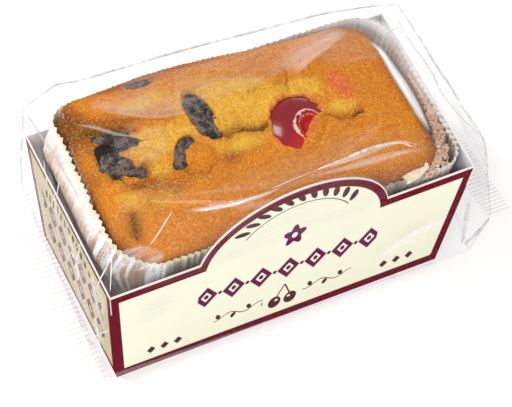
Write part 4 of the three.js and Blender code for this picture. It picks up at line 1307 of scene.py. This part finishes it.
# How tight the film lies on the printed front, where white veils and glares are painted on it as its
# reflections, and where it bellies out white, each 0 to 1.
def filmMasks(places):
    x, y, z = places.T
    tight = smoothStep(0.9, 0.3, y + trayFront(z) + film["clear"])
    cloudy = np.zeros(len(x))
    for *spot, strength in film["paintedVeils"]:
        cloudy = np.maximum(cloudy, strength * (1 - smoothStep(0.75, 1.0, oval(x, y, *spot))) * (z > 60))
    for plane, limit, (*spot, strength) in film["glares"]:
        across, there = (x, y < limit) if plane == "front" else (y, x < limit)
        cloudy = np.maximum(cloudy, strength * (1 - smoothStep(0.3, 1.0, oval(across, z, *spot))) * there)
    pouch = smoothStep(68, 74, x) * smoothStep(0.35, 0.7, softNoise(places, 7, 2))
    return tight, cloudy, pouch + 0.2 * smoothStep(-70.2, -71.2, x)


def buildFilm():
    hulls, heart, reach = filmHulls(), Vector(film["heart"]), film["reach"]
    edit = bmesh.new()
    bmesh.ops.create_cube(edit, size=2)
    bmesh.ops.subdivide_edges(edit, edges=edit.edges[:], cuts=film["cuts"], use_grid_fill=True)
    for vertex in edit.verts:
        toward = Vector(vertex.co[k] * reach[k] for k in range(3)).normalized()
        hits = [tree.ray_cast(heart + toward * 400, -toward)[0] for tree in hulls]
        vertex.co = heart + toward * max((hit - heart).length for hit in hits if hit)

    def soften(verts, times):
        for _ in range(times):
            bmesh.ops.smooth_vert(edit, verts=verts, factor=0.5, use_axis_x=True, use_axis_y=True, use_axis_z=True)

    soften(edit.verts, 1)
    # the broad facets over the crust are drawn into one soft sheet
    soften([v for v in edit.verts if v.co.z > 66 and abs(v.co.x) < 66 and abs(v.co.y) < 36], film["softening"])
    # the film under the tray isn't made
    low = [f for f in edit.faces if f.calc_center_median().z < film["slack"] + 0.4 and abs(f.normal.z) > 0.5]
    bmesh.ops.delete(edit, geom=low, context="FACES")
    edit.normal_update()
    edit.verts.index_update()
    places = np.array([v.co[:] for v in edit.verts])
    normals = np.array([v.normal[:] for v in edit.verts])
    bends = np.zeros(len(places))
    for edge in edit.edges:
        if len(edge.link_faces) == 2:
            turn = abs(edge.calc_face_angle_signed(0.0))
            for v in edge.verts:
                bends[v.index] = max(bends[v.index], turn)
    # tension wrinkles, strongest towards the ends and none where the film lies on the front
    tight, cloudy, pouch = filmMasks(places)
    toEnd = np.clip((np.abs(places[:, 0]) - 30) / 40, 0, 1)
    ripple = sum(height * (softNoise(places * np.array(squeeze), size, shift) - 0.5)
                 for height, squeeze, size, shift in film["wrinkles"])
    places = places + normals * (ripple * (0.3 + 0.7 * toEnd) * (1 - tight))[:, None]
    x, y, z = places.T
    over = (np.abs(x) < 58) & (np.abs(y) < 32) & (z > 64)
    places[over, 2] = np.maximum(z[over], crustHeight(x[over], y[over]) + film["overCrust"])
    for vertex, place in zip(edit.verts, places):
        vertex.co = place * mm
    mesh = bpy.data.meshes.new("filmBag")
    edit.to_mesh(mesh)
    edit.free()
    setSmooth(mesh)
    made = addObject("filmBag", mesh)
    # a painted white glint along each bend of the film
    crease = np.clip(bends / 0.5 - 0.2, 0, 1)
    keepValues(made, crease=crease, rib=np.zeros(len(bends)), tight=tight, cloudy=cloudy, pouch=pouch)
    return made


# A flat fin, ribbed across, that lies along X from its middle.
def crimpedFin():
    start, given = newGroup("crimpedFin", {"Length": 75.0, "Width": 8.4, "Rib pitch": 1.8, "Rib height": 0.3,
                                           "Wave": 0.8, "Seed": 4})
    sheet = start.node("GeometryNodeMeshGrid", {}, {
        "Size X": given["Length"], "Size Y": given["Width"], "Vertices X": 420, "Vertices Y": 9})
    place = start.node("GeometryNodeInputPosition")
    rib = start.maths("SINE", place.parts()[0] / given["Rib pitch"] * (2 * math.pi))
    slow = start.seededNoise(place, given["Seed"], 0.06)
    rise = rib * given["Rib height"] * 0.5 + (slow - 0.5) * given["Wave"] * 2
    moved = sheet.moved(start.node("ShaderNodeCombineXYZ", {}, {"Z": rise}))
    return endGroup(given, start.node(
        "GeometryNodeStoreNamedAttribute", {"data_type": "FLOAT", "domain": "POINT"}, {
            "Geometry": moved, "Name": "rib", "Value": rib * 0.5 + 0.5}))


def layFin(name, tree, seam, side, finish):
    back, front = (Vector(p) for p in seam)
    length, tuck = (front - back).length, film["finTuck"]
    made = addMesh(name, [(0, 0, 0)], [])
    runGroup(made, tree, {"Length": length, "Width": film["finWidth"] + tuck, "Rib pitch": film["ribPitch"],
                          "Rib height": film["ribHeight"], "Seed": 4 + side, "Finish": finish})
    along, outward = (front - back) / length, Vector((side, 0, 0))
    middle = (back + front) / 2 + outward * (film["finWidth"] - tuck) / 2
    for vertex in made.data.vertices:
        x, y, z = vertex.co
        vertex.co = (middle + along * x + outward * y + Vector((0, 0, z))) * mm
    keepValues(made, **{name: np.zeros(len(made.data.vertices)) for name in filmValues if name != "rib"})
    if along.cross(outward).z < 0:
        made.data.flip_normals()
    setSmooth(made.data)
    return made


def clearShader(start, colour=(1, 1, 1)):
    return start.node("ShaderNodeBsdfTransparent", {}, {"Color": (*colour, 1)})


def facingAway(start):
    return start.node("ShaderNodeLayerWeight", {}, {"Blend": 0.5}, "Facing")


def filmFinish():
    material, start, place = newFinish("clearFilm")
    crease, rib, tight, cloudy, pouch = readValues(start, *filmValues)
    edgeOn, fine = facingAway(start), start.noise(place, 1.4, 3)
    stretched = start.node("ShaderNodeVectorMath", {"operation": "MULTIPLY"}, {0: place, 1: (0.12, 1.0, 0.6)})
    streak = start.noise(stretched, 1.6, 4, 0.65)
    mirror = start.node("ShaderNodeBsdfGlossy", {}, {"Color": (1, 1, 1, 1), "Roughness": 0.06 + fine * 0.05})
    clear = clearShader(start, film["tint"])
    # white of the painted veils, and of the film where it bellies out
    white = (cloudy * 4 + pouch).least(1.0).colours(*film["haze"])
    milky = start.principled(white, 0.3 + fine * 0.1)
    gloss = (0.010 + (edgeOn ** 5) * 0.4) * (1 - tight * 0.85)
    # painted glints on the bends and painted veils, with the milkiness of the pouch and the ribs
    haze = 0.002 + crease * 0.16 + pouch * 0.07 + cloudy * (0.25 + streak.past(0.52, 0.2) * 1.1)
    haze = haze + rib * rib * 0.32 + (edgeOn ** 7) * 0.6
    return useShader(material, haze.cover(gloss.cover(clear, mirror), milky))


# Thin ridges where the film is folded or drawn tight, each along its own course.
def ridgeAlong():
    start, given = newGroup("ridgeAlong", {"Spacing": 0.0007})
    curve = start.node("GeometryNodeMeshToCurve", {}, {"Mesh": given["Geometry"]})
    even = start.node("GeometryNodeResampleCurve", {"mode": "LENGTH"}, {"Curve": curve, "Length": given["Spacing"]})
    share = start.node("GeometryNodeSplineParameter", out="Factor")
    ends = start.maths("SINE", share * math.pi).most(0.0) ** 0.5
    profile = start.node("GeometryNodeCurvePrimitiveCircle", {"mode": "RADIUS"}, {"Resolution": 6, "Radius": 1.0})
    return endGroup(given, start.node("GeometryNodeCurveToMesh", {}, {
        "Curve": even, "Profile Curve": profile, "Scale": start.named("wide") * (ends * 0.9 + 0.1),
        "Fill Caps": True}))


# Points 1 mm apart on a smooth line through the given ones.
def smoothCourse(points):
    points = [Vector(p) for p in points]
    padded = [points[0] * 2 - points[1]] + points + [points[-1] * 2 - points[-2]]
    out = []
    for a, b, c, d in zip(padded, padded[1:], padded[2:], padded[3:]):
        steps = max(1, round((c - b).length))
        for i in range(steps):
            t = i / steps
            out.append(0.5 * (2 * b + (c - a) * t + (2 * a - 5 * b + 4 * c - d) * t * t
                              + (3 * b - a - 3 * c + d) * t ** 3))
    return out + [points[-1]]


# A course laid on the film's surface, `lift` above it, and drawn straight by the film's pull.
def onFilm(surface, course, lift):
    line = []
    for point in smoothCourse(course):
        near, normal, _, far = surface.find_nearest(point)
        line.append(near + normal * lift if far < 5 else point)
    for _ in range(12):
        line = [line[0]] + [(a + b * 2 + c) / 4 for a, b, c in zip(line, line[1:], line[2:])] + [line[-1]]
    return line


def drawFolds(surface, finish):
    places, edges, wides, whites = [], [], [], []
    for wide, white, course in film["folds"]:
        line = onFilm(surface, course, film["foldLift"])
        edges += [(i, i + 1) for i in range(len(places), len(places) + len(line) - 1)]
        places += line
        wides += [wide * mm] * len(line)
        whites += [white] * len(line)
    made = addMesh("filmFolds", places, [], edges=edges)
    keepValues(made, wide=wides, white=whites)
    runGroup(made, ridgeAlong(), {"Finish": finish})
    return made


# Sheens as thin strips just over the film, whitest along their course.
def drawSheens(surface, finish):
    columns, places, faces, whites, runs, sides = 13, [], [], [], [], []
    for wide, white, leftOnly, course in film["sheens"]:
        line = onFilm(surface, course, 0.0)
        for i, point in enumerate(line):
            ahead = line[min(i + 1, len(line) - 1)] - line[max(i - 1, 0)]
            left = Vector(surface.find_nearest(point)[1]).cross(ahead).normalized()
            share = math.sin(math.pi * i / (len(line) - 1))
            for k in range(columns):
                t = k / (columns - 1)
                t = t if leftOnly else t * 2 - 1
                side = point + left * (wide * t * (1 if leftOnly else 0.35 + 0.65 * share))
                near, normal, _, _ = surface.find_nearest(side)
                places.append(near + normal * film["sheenLift"])
                fade = min(1, t * 9) * (1 - t) ** 1.3 if leftOnly else (1 - t * t) ** 1.5
                whites.append(white * fade * min(1, share * 1.8))
                runs.append(i + 40 * wide)
                sides.append(wide * t)
                if i and k:
                    n = len(places) - 1
                    faces.append((n - columns - 1, n - columns, n, n - 1))
    made = addMesh("filmSheens", places, faces)
    keepValues(made, white=whites, run=runs, side=sides)
    made.data.materials.append(finish)
    return made


def sheenFinish():
    material, start, _ = newFinish("filmSheen")
    white, run, side = readValues(start, "white", "run", "side")
    # streaks along the course, about 30 mm long and 2 mm wide
    streaks = start.node("ShaderNodeCombineXYZ", {}, {"X": run * 0.033, "Y": side * 0.5})
    patch = start.noise(streaks, 1000, 3, 0.5)
    shade = patch.colours(*film["sheenWhites"])
    milky = start.principled(shade, 0.4 + patch * 0.1, {"Emission Color": shade, "Emission Strength": 0.15})
    return useShader(material, (white * (0.45 + patch.past(0.45, 0.25) * 0.75)).cover(clearShader(start), milky))


# Lines painted on the fold ridges: white ones as glints, grey ones as the film's edges.
def foldFinish():
    material, start, place = newFinish("foldedFilm")
    white, = readValues(start, "white")
    broken = start.noise(place, 4, 3, 0.6)
    solid = start.principled(white.colours(*film["paintedFoldLines"]), 0.25 + broken * 0.1)
    amount = (broken.past(0.47, 0.2) * (0.35 + white * 0.5) + 0.06) * (1 - facingAway(start) ** 2)
    return useShader(material, amount.cover(clearShader(start), solid))


clearFinish = filmFinish()
bag = buildFilm()
bag.data.materials.append(clearFinish)
finishPiece(bag, "film_wrap", "film_wrap")
surface = BVHTree.FromPolygons([v.co / mm for v in bag.data.vertices], [p.vertices[:] for p in bag.data.polygons])
finishPiece(drawFolds(surface, foldFinish()), "film_wrap")
finishPiece(drawSheens(surface, sheenFinish()), "film_wrap")
finTree = crimpedFin()
for name, seam, side in (("leftFin", film["leftSeam"], -1), ("rightFin", film["rightSeam"], 1)):
    finishPiece(layFin(name, finTree, seam, side, clearFinish), "film_wrap")
print("film wrapped")

bpy.context.view_layer.update()
